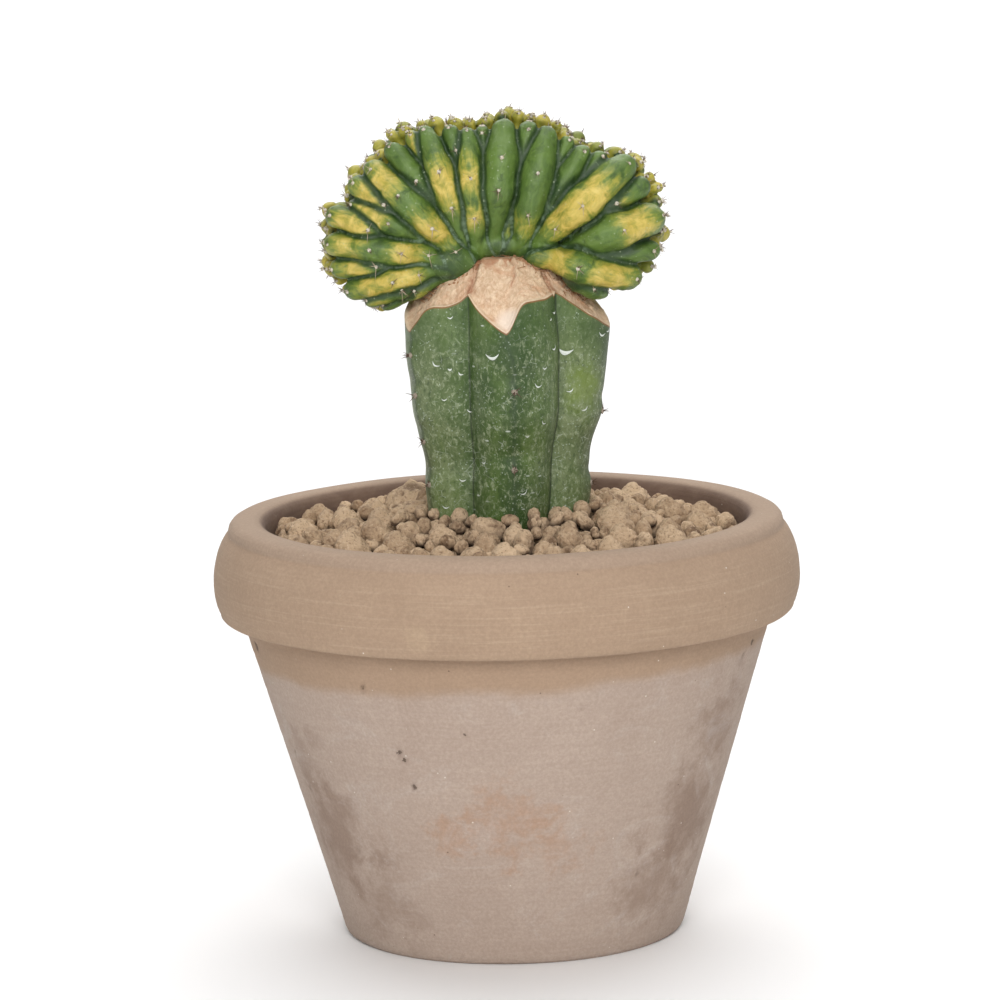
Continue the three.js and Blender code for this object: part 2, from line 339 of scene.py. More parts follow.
def turned(name, outline, columns):
    """A piece turned on the pot's axis, from a closed outline."""
    angles = np.arange(columns) / columns * 2 * math.pi
    radius, height = outline[:, 0, None], outline[:, 1, None]
    points = np.stack(
        [radius * np.sin(angles), -radius * np.cos(angles), height + 0 * angles], axis=2
    ).reshape(-1, 3)
    row, column = np.meshgrid(np.arange(len(outline)), np.arange(columns), indexing="ij")
    below = ((row + 1) % len(outline)) * columns
    beside = (column + 1) % columns
    faces = np.stack(
        [row * columns + column, row * columns + beside, below + beside, below + column], axis=2
    ).reshape(-1, 4)
    return mesh_piece(name, points, faces)


def eased(value, low, high):
    share = np.clip((value - low) / (high - low), 0, 1)
    return share * share * (3 - 2 * share)


pot_columns = 320
point_spacing = 1.1 * mm
pot = turned("pot", traced(pot_outline, point_spacing), pot_columns)
where = np.array([v.co for v in pot.data.vertices])
out = np.array([v.normal for v in pot.data.vertices])
reach_of = np.hypot(where[:, 0], where[:, 1])
turn_of = np.arctan2(where[:, 0], -where[:, 1])
on_outside = np.clip((reach_of - mouth * 0.55) / (5 * mm), 0, 1)
lines = cloud(where * np.array([0.25, 0.25, 9]), 14 * mm, 1, 2)
waver = cloud(where, 45 * mm, 2, 2)
proud = 0.05 * mm * lines + 0.22 * mm * waver
# pits and nicks: turn from the front in degrees, height, length, width, depth
pits = [
    (-27.2, 57.3, 1.6, 0.8, 0.5), (-26.2, 55.4, 0.9, 0.6, 0.4), (-24.6, 48.2, 1.0, 0.8, 0.4),
    (-33.8, 73.8, 1.3, 0.6, 0.5), (-74, 78.0, 0.9, 1.8, 0.5), (68, 77.5, 1.9, 0.9, 0.7),
    (64, 75.0, 1.4, 0.6, 0.5), (-10.5, 63.0, 0.9, 0.5, 0.25), (15.5, 69.5, 1.1, 0.4, 0.3),
    (23, 67.0, 0.7, 0.4, 0.25), (-66, 42.0, 1.6, 1.0, 0.5), (-70, 51.0, 1.2, 0.8, 0.4),
    (-48, 28.0, 1.3, 0.7, 0.3), (38, 22.0, 1.2, 0.9, 0.35), (52, 48.0, 1.0, 0.6, 0.3),
    (-12, 92.0, 0.7, 0.7, 0.2), (31, 95.0, 0.8, 0.5, 0.2), (124, 50.0, 1.5, 0.9, 0.5),
    (150, 33.0, 1.3, 1.0, 0.5), (-150, 58.0, 1.4, 0.8, 0.5), (-118, 36.0, 1.2, 1.0, 0.5),
    (178, 70.0, 1.1, 0.7, 0.4), (-100, 93.0, 1.0, 0.8, 0.3), (105, 90.0, 1.1, 0.6, 0.3),
]
pitted = np.zeros(len(where))
for turn, height, length, width, depth in pits:
    beside = (turn_of - math.radians(turn) + math.pi) % (2 * math.pi) - math.pi
    beside = beside * reach_of / (width * mm)
    above = (where[:, 2] - height * mm) / (length * mm)
    sunk = np.exp(-2.5 * (beside ** 2 + above ** 2 + 0.8 * beside * above))
    sunk = np.where(reach_of > mouth * 0.6, sunk, 0) * on_outside
    proud -= depth * mm * sunk
    pitted = np.maximum(pitted, sunk)
standing = where[:, 2] < 0.05 * mm
proud[standing] = 0
where += out * (proud * on_outside)[:, None]
where[:, 2] = np.maximum(where[:, 2], 0)
pot.data.vertices.foreach_set("co", where.ravel())
pot.data.update()
measure(pot, "pitted", pitted)
facing_in = -(out[:, 0] * where[:, 0] + out[:, 1] * where[:, 1]) / reach_of
measure(pot, "inside", eased(facing_in, 0.2, 0.8) * (where[:, 2] > floor_top))

clay = Finish("unglazed_clay", 0.9)
height = clay.axis("Z")
waving = clay.noise(22 * mm, 3, 0.6, 0.6)
tide = clay.plus(height, clay.window(waving, 0.2, 0.8, -1.2 * mm, 1.2 * mm))
tide = clay.minus(tide, clay.times(clay.axis("X"), 0.045))
body = clay.mix(clay.noise(34 * mm, 4, 0.6, 1.2), shade(171, 151, 137), shade(189, 171, 157))
collar_clay = clay.mix(clay.noise(28 * mm, 4, 0.55, 0.8), shade(162, 137, 114), shade(180, 154, 130))
colour = clay.mix(clay.window(tide, 71.8 * mm, 76.2 * mm), body, collar_clay)
band = clay.times(clay.window(tide, 73 * mm, 75.2 * mm), clay.window(height, 84 * mm, 82.5 * mm))
colour = clay.mix(clay.times(band, 0.15), colour, shade(160, 130, 106))
# damp stains: centre, reach, strength, in mm; the ones in the middle of the front are redder
stains = [
    ((-3, -50, 40), 15, 0.75),
    ((-13, -50, 35), 9, 0.5),
    ((11, -49, 33), 11, 0.5),
    ((52, -30, 58), 15, 0.7),
    ((44, -30, 34), 20, 0.8),
    ((34, -33, 18), 16, 0.6),
    ((-44, -28, 32), 19, 0.75),
    ((-32, -36, 16), 15, 0.5),
    ((-50, -26, 50), 12, 0.4),
    ((-36, 38, 40), 20, 0.6),
    ((20, 45, 22), 18, 0.6),
    ((58, 12, 45), 16, 0.5),
]
blots = clay.noise(8 * mm, 6, 0.7, 0.25)
for centre, reach, strength in stains:
    apart = clay.away_from(tuple(c * mm for c in centre))
    ragged = clay.plus(apart, clay.window(blots, 0.25, 0.75, -8 * mm, 8 * mm))
    inside = clay.window(ragged, reach * mm, reach * 0.1 * mm, 0, strength)
    tint = shade(176, 142, 118) if abs(centre[0]) < 20 else shade(142, 120, 105)
    colour = clay.mix(inside, colour, tint)
veil = clay.window(clay.noise(30 * mm, 5, 0.7, 2.2, clay.stretched(1, 1, 1.6)), 0.52, 0.72)
below_collar = clay.window(tide, 74 * mm, 70 * mm)
veil = clay.times(veil, below_collar, 0.4)
colour = clay.mix(veil, colour, shade(196, 184, 176))
turning = clay.noise(5 * mm, 3, 0.6, 0.1, clay.stretched(0.08, 0.08, 6))
colour = clay.mix(clay.window(turning, 0.35, 0.7, 0, 0.09), colour, shade(142, 118, 98))
# the soft marks that a wet hand left down the side of the collar
wiped = clay.noise(2.6 * mm, 4, 0.7, 0.3, clay.stretched(1.2, 1.2, 0.16))
on_collar = clay.times(clay.window(height, 83 * mm, 86 * mm), clay.window(height, 104 * mm, 99 * mm))
scored = clay.noise(2.4 * mm, 4, 0.6, 0.2, clay.stretched(0.1, 0.1, 4))
scored = clay.times(clay.window(scored, 0.50, 0.66, 0, 0.16), on_collar)
colour = clay.mix(scored, colour, shade(210, 188, 162))
wiped = clay.times(clay.window(wiped, 0.46, 0.7, 0, 0.10), on_collar)
colour = clay.mix(wiped, colour, shade(198, 174, 146))
spilt = clay.away_from((-22 * mm, -71 * mm, 89 * mm))
spilt = clay.plus(spilt, clay.window(blots, 0.2, 0.8, -1.5 * mm, 1.5 * mm))
colour = clay.mix(clay.window(spilt, 4.5 * mm, 2.0 * mm, 0, 0.16), colour, shade(208, 184, 150))
colour = clay.mix(clay.window(height, 104.2 * mm, 105.2 * mm, 0, 0.3), colour, shade(170, 152, 138))
# painted shade on the inner wall of the pot, in soft blotches
inner_wall_shade = clay.window(clay.noise(7 * mm, 4, 0.65, 0.5, clay.stretched(1, 1, 2)), 0.3, 0.7, 0.8, 1.0)
colour = clay.mix(clay.times(clay.read("inside"), inner_wall_shade), colour, shade(110, 88, 76))
grain = clay.noise(0.8 * mm, 3, 0.7)
colour = clay.mix(clay.window(grain, 0.3, 0.75, 0.24, 0.0), colour, shade(110, 88, 72))
specks = clay.window(clay.cells(2.6 * mm), 0.10, 0.05)
thinned = clay.window(clay.noise(6 * mm, 2), 0.56, 0.62)
colour = clay.mix(clay.times(specks, thinned), colour, shade(214, 204, 192))
dark_specks = clay.window(clay.cells(4.3 * mm, place=clay.stretched(1.1, 0.9, 1.2)), 0.075, 0.04)
colour = clay.mix(clay.times(dark_specks, thinned, 0.7), colour, shade(92, 72, 58))
colour = clay.mix(clay.times(clay.read("pitted"), 0.6), colour, shade(86, 66, 52))
# the largest pits darker still
chips = clay.noise(0.9 * mm, 3, 0.7)
darkest_pits = 8
for turn, up, _, width, _ in pits[:darkest_pits]:
    reach = foot + flare * up * mm
    place = (reach * math.sin(math.radians(turn)), -reach * math.cos(math.radians(turn)), up * mm)
    apart = clay.plus(clay.away_from(place), clay.window(chips, 0.2, 0.8, -0.5 * mm, 0.5 * mm))
    colour = clay.mix(clay.window(apart, width * mm, width * 0.5 * mm, 0, 0.8), colour, shade(78, 60, 48))
fine = clay.raised(grain, 0.10 * mm)
ringed = clay.raised(turning, 0.12 * mm, fine)
pot.data.materials.append(clay.finished(colour, clay.raised(blots, 0.2 * mm, ringed)))
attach(pot, "root")
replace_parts(pot, "clay_pot")


# ---- Potting mix ----
# Mineral mix that fills the pot up to the granules and shows from below in the drain hole:
# dark crumbs of peat and pumice pressed together.

peat = Finish("potting_mix", 1.0)
crumbs = peat.cells(2.4 * mm)
damp = peat.noise(9 * mm, 4, 0.6)
colour = peat.mix(peat.window(crumbs, 0.1, 0.7), shade(122, 98, 74), shade(62, 46, 34))
colour = peat.mix(peat.window(damp, 0.4, 0.7, 0, 0.6), colour, shade(88, 68, 50))
mix_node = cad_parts["potting_mix"]
mix_node.data.materials.clear()
mix_node.data.materials.append(
    peat.finished(colour, peat.raised(peat.times(crumbs, -1), 1.2 * mm))
)


# ---- Rootstock ----
# A cutting of a five-ribbed column cactus, planted in the mix. Its top was pared down to a blunt
# cone for the graft and has healed to a dry tan callus; the skin below is waxy, dark green and
# scarred, with a sharp furrow between ribs and sparse areoles along them.

stock_low, stock_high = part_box("rootstock")
_, mix_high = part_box("potting_mix")
graft = stock_high.z
ribs = 5
front_rib = math.radians(6.4)
graft_radius = 13.9 * mm
bevel = 1.32
furrow_depth = 6.8 * mm
shoulder = 27.2 * mm


def evened(height, angle):
    """The angle as it would be if the ribs stood evenly; the front ones lean as they grow."""
    angle = (angle + math.pi) % (2 * math.pi) - math.pi
    rise = eased(height, 105 * mm, 160 * mm)
    wave = eased(height, 108 * mm, 130 * mm) * eased(-height, -163 * mm, -145 * mm)
    shift = math.radians(6.5) * rise * np.exp(-(((angle + 0.62) / 0.26) ** 2))
    shift = shift + math.radians(4.0) * wave * np.exp(-(((angle - 0.64) / 0.26) ** 2))
    shift = shift + math.radians(7.0) * np.exp(-(((angle + 1.2) / 0.3) ** 2))
    top = eased(height, 147 * mm, 158 * mm)
    shift = shift - math.radians(4.5) * top * np.exp(-((angle / 0.2) ** 2))
    return angle - shift


def turn_of_rib(rib, height):
    """The angle at which a rib, counted from the front one, stands at a height."""
    even = (rib * 2 * math.pi / ribs + math.pi) % (2 * math.pi) - math.pi
    angle = even
    for _ in range(8):
        angle = angle + even - evened(height, angle)
    return float(angle)


def from_rib(angle):
    """How far an even angle lies from the nearest rib: 0 on the rib, 1 in the furrow."""
    sector = 2 * math.pi / ribs
    return np.abs(angle - sector * np.round(angle / sector)) / (sector / 2)


# heights of the areoles along each rib, from the front one round to the right
areole_heights = [
    (142.7, 122.4),
    (134.5, 116.0),
    (149.0, 130.0, 113.0),
    (146.0, 127.0, 112.0),
    (151.0, 140.6, 128.6, 117.5),
]


def stock_radius(height, angle):
    """Radius of the stock at a height and an angle from the front rib."""
    over_ribs = (
        20.9 * mm
        + 1.2 * mm * eased(height, 100 * mm, 118 * mm)
        + 3.4 * mm * eased(height, 122 * mm, 138 * mm)
        + 1.6 * mm * eased(height, 138 * mm, 157 * mm)
        - 7.0 * mm * eased(-height, -mix_high.z, -stock_low.z)
    )
    angle = evened(height, angle)
    away = from_rib(angle)
    radius = over_ribs - furrow_depth * (over_ribs / shoulder) * away ** 1.4
    radius = radius + 1.2 * mm * eased(height, 128 * mm, 150 * mm) * np.exp(-(((angle - 1.15) / 0.35) ** 2))
    rib = np.round(angle / (2 * math.pi / ribs)).astype(int) % ribs
    for index, heights in enumerate(areole_heights):
        for place in heights:
            on_rib = np.where(rib == index, np.exp(-((away / 0.3) ** 2)), 0)
            radius = radius + on_rib * mm * (
                0.35 * np.exp(-(((height - place * mm) / (4 * mm)) ** 2))
                - 0.5 * np.exp(-(((height - place * mm - 3.5 * mm) / (2 * mm)) ** 2))
            )
    return radius


def stock_point(height, angle, radius=None):
    turn = angle + front_rib
    reach = stock_radius(height, angle) if radius is None else radius
    return np.stack([np.sin(turn) * reach, -np.cos(turn) * reach, height + 0 * turn], axis=-1)


def wrapped(name, rings, cap_low, cap_high):
    """A closed piece from rings of points, from the lowest ring up, with a point at each end."""
    rows, columns = rings.shape[:2]
    points = np.concatenate([rings.reshape(-1, 3), [cap_low, cap_high]])
    row, column = np.meshgrid(np.arange(rows - 1), np.arange(columns), indexing="ij")
    beside = (column + 1) % columns
    quads = np.stack(
        [
            row * columns + column,
            row * columns + beside,
            (row + 1) * columns + beside,
            (row + 1) * columns + column,
        ],
        axis=2,
    ).reshape(-1, 4)
    low, high = rows * columns, rows * columns + 1
    last = (rows - 1) * columns
    ends = [(low, (c + 1) % columns, c) for c in range(columns)]
    ends += [(last + c, last + (c + 1) % columns, high) for c in range(columns)]
    return mesh_piece(name, points, [*quads.tolist(), *ends])


stock_columns = 360
skin_ring_count = 170
cut_ring_count = 64
angles = np.arange(stock_columns) / stock_columns * 2 * math.pi
# the edge where the cone of the cut meets the skin, closed in on step by step
edge = np.full(stock_columns, graft - 15 * mm)
for _ in range(14):
    edge = graft - (stock_radius(edge, angles) - graft_radius) * bevel
sideways = (angles + math.pi) % (2 * math.pi) - math.pi
# over each rib the cut runs down to a point; the front one is a narrow tongue, steep on the right
away = from_rib(evened(edge, angles))
drop = furrow_depth * bevel
edge += 0.75 * drop * (away - away ** 1.4)
sideways = sideways + 0.075
to_right = np.clip(sideways, 0, math.pi / ribs)
steep = 7.8 * mm * (1 - np.exp(-((to_right / 0.115) ** 2))) + 1.2 * mm * away - drop * away
edge += np.where((sideways > 0) & (sideways < math.pi / ribs), steep, 0)
edge += (
    2.4 * mm * np.exp(-(((sideways + 0.86) / 0.14) ** 2))
    - 1.2 * mm * np.exp(-(((sideways + 1.15) / 0.14) ** 2))
)
edge += 0.35 * mm * cloud(stock_point(edge, angles), 6 * mm, 5, 2)

skin_share = np.linspace(0, 1, skin_ring_count)[:, None]
skin_height = stock_low.z + 2 * mm + (edge - stock_low.z - 2 * mm) * skin_share
skin_rows = stock_point(skin_height, angles[None, :] + 0 * skin_height)
rim_radius = stock_radius(edge, angles)
cut_share = np.linspace(0, 1, cut_ring_count)[1:, None]
cut_radius = rim_radius + (graft_radius - rim_radius) * cut_share
cut_height = edge + (graft - edge) * cut_share
sunk = 0.9 * mm * eased(cut_share, 0, 0.10) * (1 - 0.6 * cut_share)
cut_furrow = from_rib(evened(edge, angles))
crease = (1 - cut_furrow) / 0.11
sunk = sunk + 0.9 * mm * np.exp(-(crease ** 2)) * eased(cut_share, 0.06, 0.4)
# a wrinkle that stands up down the middle of the front tongue
wander = 0.21 + 0.03 * np.sin(cut_share * 9) + 0.02 * np.sin(cut_share * 31)
upper = eased(cut_share, 0.42, 0.62)
wrinkle = np.exp(-(((sideways - wander) / 0.03) ** 2)) * upper
sunk = sunk - 0.7 * mm * wrinkle
split = np.exp(-(((sideways - wander + 0.055) / 0.025) ** 2)) * upper
sunk = sunk + 0.6 * mm * split
cut_rows = stock_point(cut_height - 0.6 * sunk, angles, cut_radius - 0.8 * sunk)
top_share = np.array([0.75, 0.5, 0.25])[:, None]
top_rows = stock_point(graft + 0 * top_share * angles, angles, graft_radius * top_share)
rings = np.concatenate([skin_rows, cut_rows, top_rows])
fibre = cloud(rings.reshape(-1, 3) * np.array([1, 1, 0.4]), 1.6 * mm, 6, 3).reshape(rings.shape[:2])
soft = cloud(rings.reshape(-1, 3), 11 * mm, 7, 2).reshape(rings.shape[:2])
on_cut = np.arange(len(rings))[:, None] >= len(skin_rows)
ridge = cloud(rings.reshape(-1, 3) * np.array([1.6, 1.6, 0.5]), 4.5 * mm, 9, 3)
ridge = np.exp(-((ridge.reshape(rings.shape[:2]) / 0.10) ** 2))
bulge = np.where(on_cut, 0.32 * mm * fibre + 0.5 * mm * soft + 0.45 * mm * ridge, 0.30 * mm * soft)
bulge *= np.clip((graft - rings[..., 2]) / (1.5 * mm), 0, 1)
flat = np.hypot(rings[..., 0], rings[..., 1])[..., None]
rings[..., :2] *= 1 + bulge[..., None] / np.maximum(flat, 1 * mm)
stock = wrapped("stock", rings, (0, 0, stock_low.z), (0, 0, graft))

past_edge = np.concatenate(
    [skin_height - edge, (cut_height - edge) + 0 * angles, 0 * top_share + 20 * mm + 0 * angles]
)
all_heights = rings[..., 2]
furrow = from_rib(evened(all_heights, angles + 0 * all_heights))
measure(stock, "past_edge", np.append(past_edge.ravel() / mm, [-80, 20]))
measure(stock, "furrow", np.append(furrow.ravel(), [0, 0]))
# wax bloom and painted grazing sheen: the left and right sides of the stock, as seen from the front, lighter
side_wax_and_sheen = 0.4 * eased(np.abs(sideways), 0.5, 0.85) + 0.6 * eased(-sideways, 1.15, 1.3)
fold = np.maximum(0.95 * split, np.exp(-(crease ** 2)) * eased(cut_share, 0.02, 0.15))
fold = np.concatenate([0 * skin_height, fold, 0 * top_share + 0 * angles])
measure(stock, "fold", np.append(fold.ravel(), [0, 0]))
measure(stock, "side_wax_and_sheen", np.append(np.broadcast_to(side_wax_and_sheen, past_edge.shape).ravel(), [0, 0]))

skin = Finish("waxy_skin_and_callus", 0.5)
furrow = skin.read("furrow")
broad = skin.noise(13 * mm, 4, 0.6, 0.8, skin.stretched(1, 1, 0.45))
green = skin.mix(skin.window(broad, 0.3, 0.7), shade(56, 82, 30), shade(84, 108, 48))
deep = skin.window(skin.plus(furrow, skin.window(broad, 0.2, 0.8, -0.25, 0.25)), 0.42, 0.05)
green = skin.mix(skin.times(deep, 0.8), green, shade(46, 72, 26))
# the skin close under the cut is the youngest and cleanest
worn = skin.window(skin.read("past_edge"), -3.0, -16.0, 0.3, 1.0)
waxy = skin.noise(4.5 * mm, 6, 0.75, 0.6)
patchy = skin.noise(17 * mm, 3, 0.5)
bloom = skin.times(skin.window(waxy, 0.38, 0.70), skin.window(patchy, 0.36, 0.62))
bloom = skin.times(bloom, skin.window(furrow, 0.1, 0.6, 0.2, 0.55))
green = skin.mix(skin.times(bloom, worn), green, shade(142, 154, 118))
# wax bloom and painted grazing sheen on the sides of the stock
side_wax_and_sheen = skin.times(skin.read("side_wax_and_sheen"), worn, skin.window(waxy, 0.3, 0.65, 0.4, 1.0))
green = skin.mix(skin.times(side_wax_and_sheen, 0.85), green, shade(152, 160, 120))
hair = skin.noise(1.1 * mm, 3, 0.75, 0.5, skin.stretched(1, 1, 0.7))
green = skin.mix(skin.times(skin.window(hair, 0.50, 0.72, 0, 0.7), worn), green, shade(168, 178, 144))
green = skin.mix(skin.window(hair, 0.46, 0.30, 0, 0.55), green, shade(38, 56, 24))
net = skin.window(skin.cells(2.6 * mm, "DISTANCE_TO_EDGE", place=skin.stretched(1, 1, 1.4)), 0.05, 0.0)
netted = skin.window(skin.noise(6 * mm, 4, 0.7, 1.0), 0.52, 0.66, 0, 0.6)
green = skin.mix(skin.times(net, netted, worn), green, shade(196, 206, 188))
dots = skin.times(skin.window(skin.cells(1.1 * mm), 0.22, 0.10), skin.window(waxy, 0.42, 0.56))
green = skin.mix(skin.times(dots, 0.65), green, shade(184, 198, 180))
scale = skin.cells(5.5 * mm, place=skin.stretched(0.8, 0.8, 2.2))
scaly = skin.times(skin.window(scale, 0.12, 0.06), skin.window(patchy, 0.45, 0.6))
green = skin.mix(skin.times(scaly, 0.8), green, shade(214, 222, 210))
apart = skin.away_from((21.5 * mm, -13 * mm, 141 * mm))
apart = skin.plus(apart, skin.window(waxy, 0.2, 0.8, -4 * mm, 4 * mm))
green = skin.mix(skin.window(apart, 9 * mm, 1 * mm, 0, 0.55), green, shade(118, 138, 48))
# painted shade along the furrows: a soft darker band beside each and a dark line down the groove
green = skin.mix(skin.window(furrow, 0.80, 1.0, 0, 0.25), green, shade(40, 62, 34))
green = skin.mix(skin.window(furrow, 0.968, 0.994, 0, 0.7), green, shade(30, 42, 28))
green = skin.mix(skin.window(furrow, 0.07, 0.0, 0, 0.35), green, shade(36, 56, 34))
dust = skin.plus(skin.axis("Z"), skin.window(waxy, 0.2, 0.8, -3 * mm, 3 * mm))
green = skin.mix(skin.window(dust, 109 * mm, 102 * mm, 0, 0.4), green, shade(96, 90, 66))
past = skin.read("past_edge")
threads = skin.noise(1.1 * mm, 5, 0.7, 0.4, skin.stretched(1, 1, 0.35))
tan = skin.mix(skin.window(threads, 0.3, 0.72), shade(202, 170, 138), shade(232, 207, 177))
blush = skin.window(skin.noise(9 * mm, 4, 0.6, 1.0), 0.5, 0.7, 0, 0.55)
tan = skin.mix(blush, tan, shade(190, 136, 98))
veins = skin.noise(4 * mm, 4, 0.6, 0.6, skin.stretched(1.5, 1.5, 0.5))
veined = skin.times(skin.window(veins, 0.45, 0.5), skin.window(veins, 0.55, 0.5))
tan = skin.mix(skin.times(veined, 0.28), tan, shade(168, 112, 76))
cracks = skin.window(skin.cells(3.4 * mm, "DISTANCE_TO_EDGE", place=skin.stretched(1, 1, 0.5)), 0.03, 0.0)
tan = skin.mix(skin.times(cracks, 0.18), tan, shade(150, 100, 66))
tan = skin.mix(skin.window(past, 1.1, 0.0, 0, 0.65), tan, shade(232, 212, 184))
tongue = skin.away_from((1.8 * mm, -25 * mm, graft - 14.2 * mm))
tan = skin.mix(skin.window(tongue, 4.4 * mm, 1.5 * mm, 0, 0.7), tan, shade(236, 222, 208))
folded = skin.times(skin.read("fold"), skin.window(veins, 0.3, 0.62, 0.25, 1.0))
tan = skin.mix(skin.times(folded, 0.9), tan, shade(148, 88, 54))
tan = skin.mix(skin.times(skin.window(skin.read("fold"), 0.96, 1.0), 0.4), tan, shade(232, 206, 176))
# a darker, redder band on the callus just under the graft
under_graft_band = skin.plus(skin.axis("Z"), skin.window(veins, 0.3, 0.7, -2 * mm, 1.5 * mm))
tan = skin.mix(skin.window(under_graft_band, graft - 2.6 * mm, graft, 0, 0.7), tan, shade(164, 106, 70))
lip = skin.times(skin.window(past, -0.6, -0.15), skin.window(past, 0.15, -0.05))
green = skin.mix(skin.times(lip, 0.8), green, shade(150, 96, 58))
colour = skin.mix(skin.window(past, -0.1, 0.12), green, tan)
rough = skin.window(past, -0.1, 0.1, 0.46, 0.85)
grainy = skin.raised(waxy, 0.16 * mm)
stock.data.materials.append(skin.finished(colour, skin.raised(threads, 0.12 * mm, grainy), rough))
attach(stock, "root")
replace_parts(stock, "rootstock")


# ---- Stock areoles and scars ----
# On each rib sit small cushions of grey-brown felt with a few short dark spines. Dry white
# scabs, each shaped like a thumbnail, mark where the skin was nicked.

class Tufts:
    """Gathers many small grown parts, such as spines or felt, into one piece."""

    def __init__(self):
        self.points = []
        self.faces = []

    def add(self, points, faces):
        start = len(self.points)
        self.points.extend(points)
        self.faces.extend([[start + i for i in face] for face in faces])

    def add_drawn(self, points, rings, sides):
        """Adds rings of points, closed at the foot and drawn in to one last point at the tip."""
        faces = [list(range(sides))[::-1]]
        for ring in range(rings - 1):
            for side in range(sides):
                a = ring * sides + side
                b = ring * sides + (side + 1) % sides
                faces.append([a, b, b + sides, a + sides])
        last = (rings - 1) * sides
        faces += [[last + side, last + (side + 1) % sides, last + sides] for side in range(sides)]
        self.add(points, faces)

    def spine(self, base, way, length, thickness, droop=0.0, sides=5, steps=4):
        """A tapered spine that leaves its base in a given way and bends down a little."""
        way = Vector(way).normalized()
        across = way.orthogonal().normalized()
        beside = way.cross(across)
        points = []
        for step in range(steps):
            share = step / steps
            centre = Vector(base) + way * length * share + Vector((0, 0, -droop * length * share ** 2))
            reach = thickness / 2 * (1 - share) ** 0.7
            for side in range(sides):
                turn = side / sides * 2 * math.pi
                points.append(centre + (across * math.cos(turn) + beside * math.sin(turn)) * reach)
        points.append(Vector(base) + way * length + Vector((0, 0, -droop * length)))
        self.add_drawn(points, steps, sides)

    def cushion(self, place, normal, radius, random):
        """A low, lumpy cushion of felt."""
        normal = Vector(normal).normalized()
        across = normal.orthogonal().normalized()
        beside = normal.cross(across)
        rings, sides = 4, 9
        points = []
        for ring in range(rings):
            lift = math.sin(ring / rings * math.pi / 2)
            reach = math.cos(ring / rings * math.pi / 2)
            for side in range(sides):
                turn = side / sides * 2 * math.pi
                uneven = radius * (0.8 + 0.4 * random.random())
                flat = across * math.cos(turn) + beside * math.sin(turn)
                points.append(Vector(place) + (flat * reach + normal * (lift * 0.7 - 0.25)) * uneven)
        points.append(Vector(place) + normal * radius * 0.5)
        self.add_drawn(points, rings, sides)

    def piece(self, name, finish, slot):
        made = mesh_piece(name, self.points, self.faces)
        made.data.materials.append(finish)
        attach(made, "root")
        return made


def two_toned(name, roughness, grain, dark, light, depth):
    """A plain dry finish between two colours; grain is the size, detail and harshness of both."""
    made = Finish(name, roughness)
    grained = made.noise(*grain)
    return made.finished(made.mix(grained, dark, light), made.raised(grained, depth))


def any_way():
    return Vector([random.uniform(-1, 1) for _ in range(3)])


horn = Finish("dry_spine", 0.6)
aged = horn.noise(1.5 * mm, 3, 0.6)
horn_colour = horn.mix(aged, shade(58, 42, 34), shade(116, 90, 70))
dark_horn = horn.finished(horn_colour, horn.raised(horn.noise(0.3 * mm, 2), 0.03 * mm))
grey_felt = two_toned(
    "grey_felt", 1.0, (0.35 * mm, 4, 0.7), shade(120, 104, 88), shade(186, 176, 160), 0.15 * mm
)

random = Random(3)
stock_spines, stock_felt = Tufts(), Tufts()
for rib, heights in enumerate(areole_heights):
    for height in heights:
        angle = turn_of_rib(rib, height * mm)
        outward = Vector((math.sin(angle + front_rib), -math.cos(angle + front_rib), 0))
        place = Vector(stock_point(height * mm, np.array(angle)).tolist()) + outward * 0.1 * mm
        stock_felt.cushion(place, outward, 0.8 * mm, random)
        for _ in range(random.randint(4, 6)):
            spread = any_way()
            length = random.uniform(1.3, 3.0) * mm
            stock_spines.spine(place, outward + spread * 1.1, length, 0.32 * mm, 0.1)
stock_spines.piece("stock_spines", dark_horn, "spine")
stock_felt.piece("stock_felt", grey_felt, "spine")

scab_finish = two_toned(
    "dry_white_scab", 0.8, (0.6 * mm, 4, 0.7), shade(196, 206, 194), shade(240, 243, 238), 0.08 * mm
)
# angle from the front rib in degrees, height, width, thickness at the middle, tilt in degrees
scabs = [
    (-12, 151.8, 3.6, 0.75, 4), (42, 151.2, 2.9, 1.0, -8), (29, 152.6, 1.9, 0.4, 18),
    (62, 154.8, 2.2, 0.4, -14), (67, 155.4, 1.4, 0.3, 20), (15, 143.8, 2.4, 0.35, -16),
    (20, 148.0, 1.5, 0.3, 0), (46, 141.0, 1.5, 0.3, 25), (55, 136.0, 1.8, 0.3, 30),
    (-50, 149.0, 2.0, 0.35, -35), (-42, 147.8, 1.0, 0.5, 0), (-36, 146.6, 1.2, 0.35, -30),
    (-40, 161.0, 1.3, 0.3, 12), (-47, 140.0, 1.3, 0.25, 5), (-32, 137.0, 1.4, 0.25, -20),
    (43, 110.8, 3.2, 0.7, 4), (58, 109.5, 1.6, 0.4, -10), (-42, 119.0, 1.5, 0.3, -6),
    (20, 134.0, 1.6, 0.25, -30), (-22, 124.0, 1.3, 0.25, 12), (-54, 112.0, 1.6, 0.3, -8),
    (-56, 105.5, 1.4, 0.9, 60), (31, 161.5, 1.3, 0.45, 6), (26, 160.0, 0.9, 0.3, 40),
    (8, 131.0, 1.1, 0.2, 0), (6, 116.5, 2.2, 0.25, 24), (130, 150.0, 3.0, 0.6, 8),
    (118, 132.0, 1.9, 0.35, -14), (165, 141.0, 2.4, 0.5, 0), (186, 126.0, 1.7, 0.3, 18),
    (205, 148.0, 3.0, 0.6, -8), (245, 137.0, 1.9, 0.35, 12), (232, 118.0, 2.3, 0.45, -5),
    (96, 121.0, 1.6, 0.3, 10), (151, 118.0, 1.4, 0.3, -20), (218, 131.0, 1.3, 0.25, 30),
]
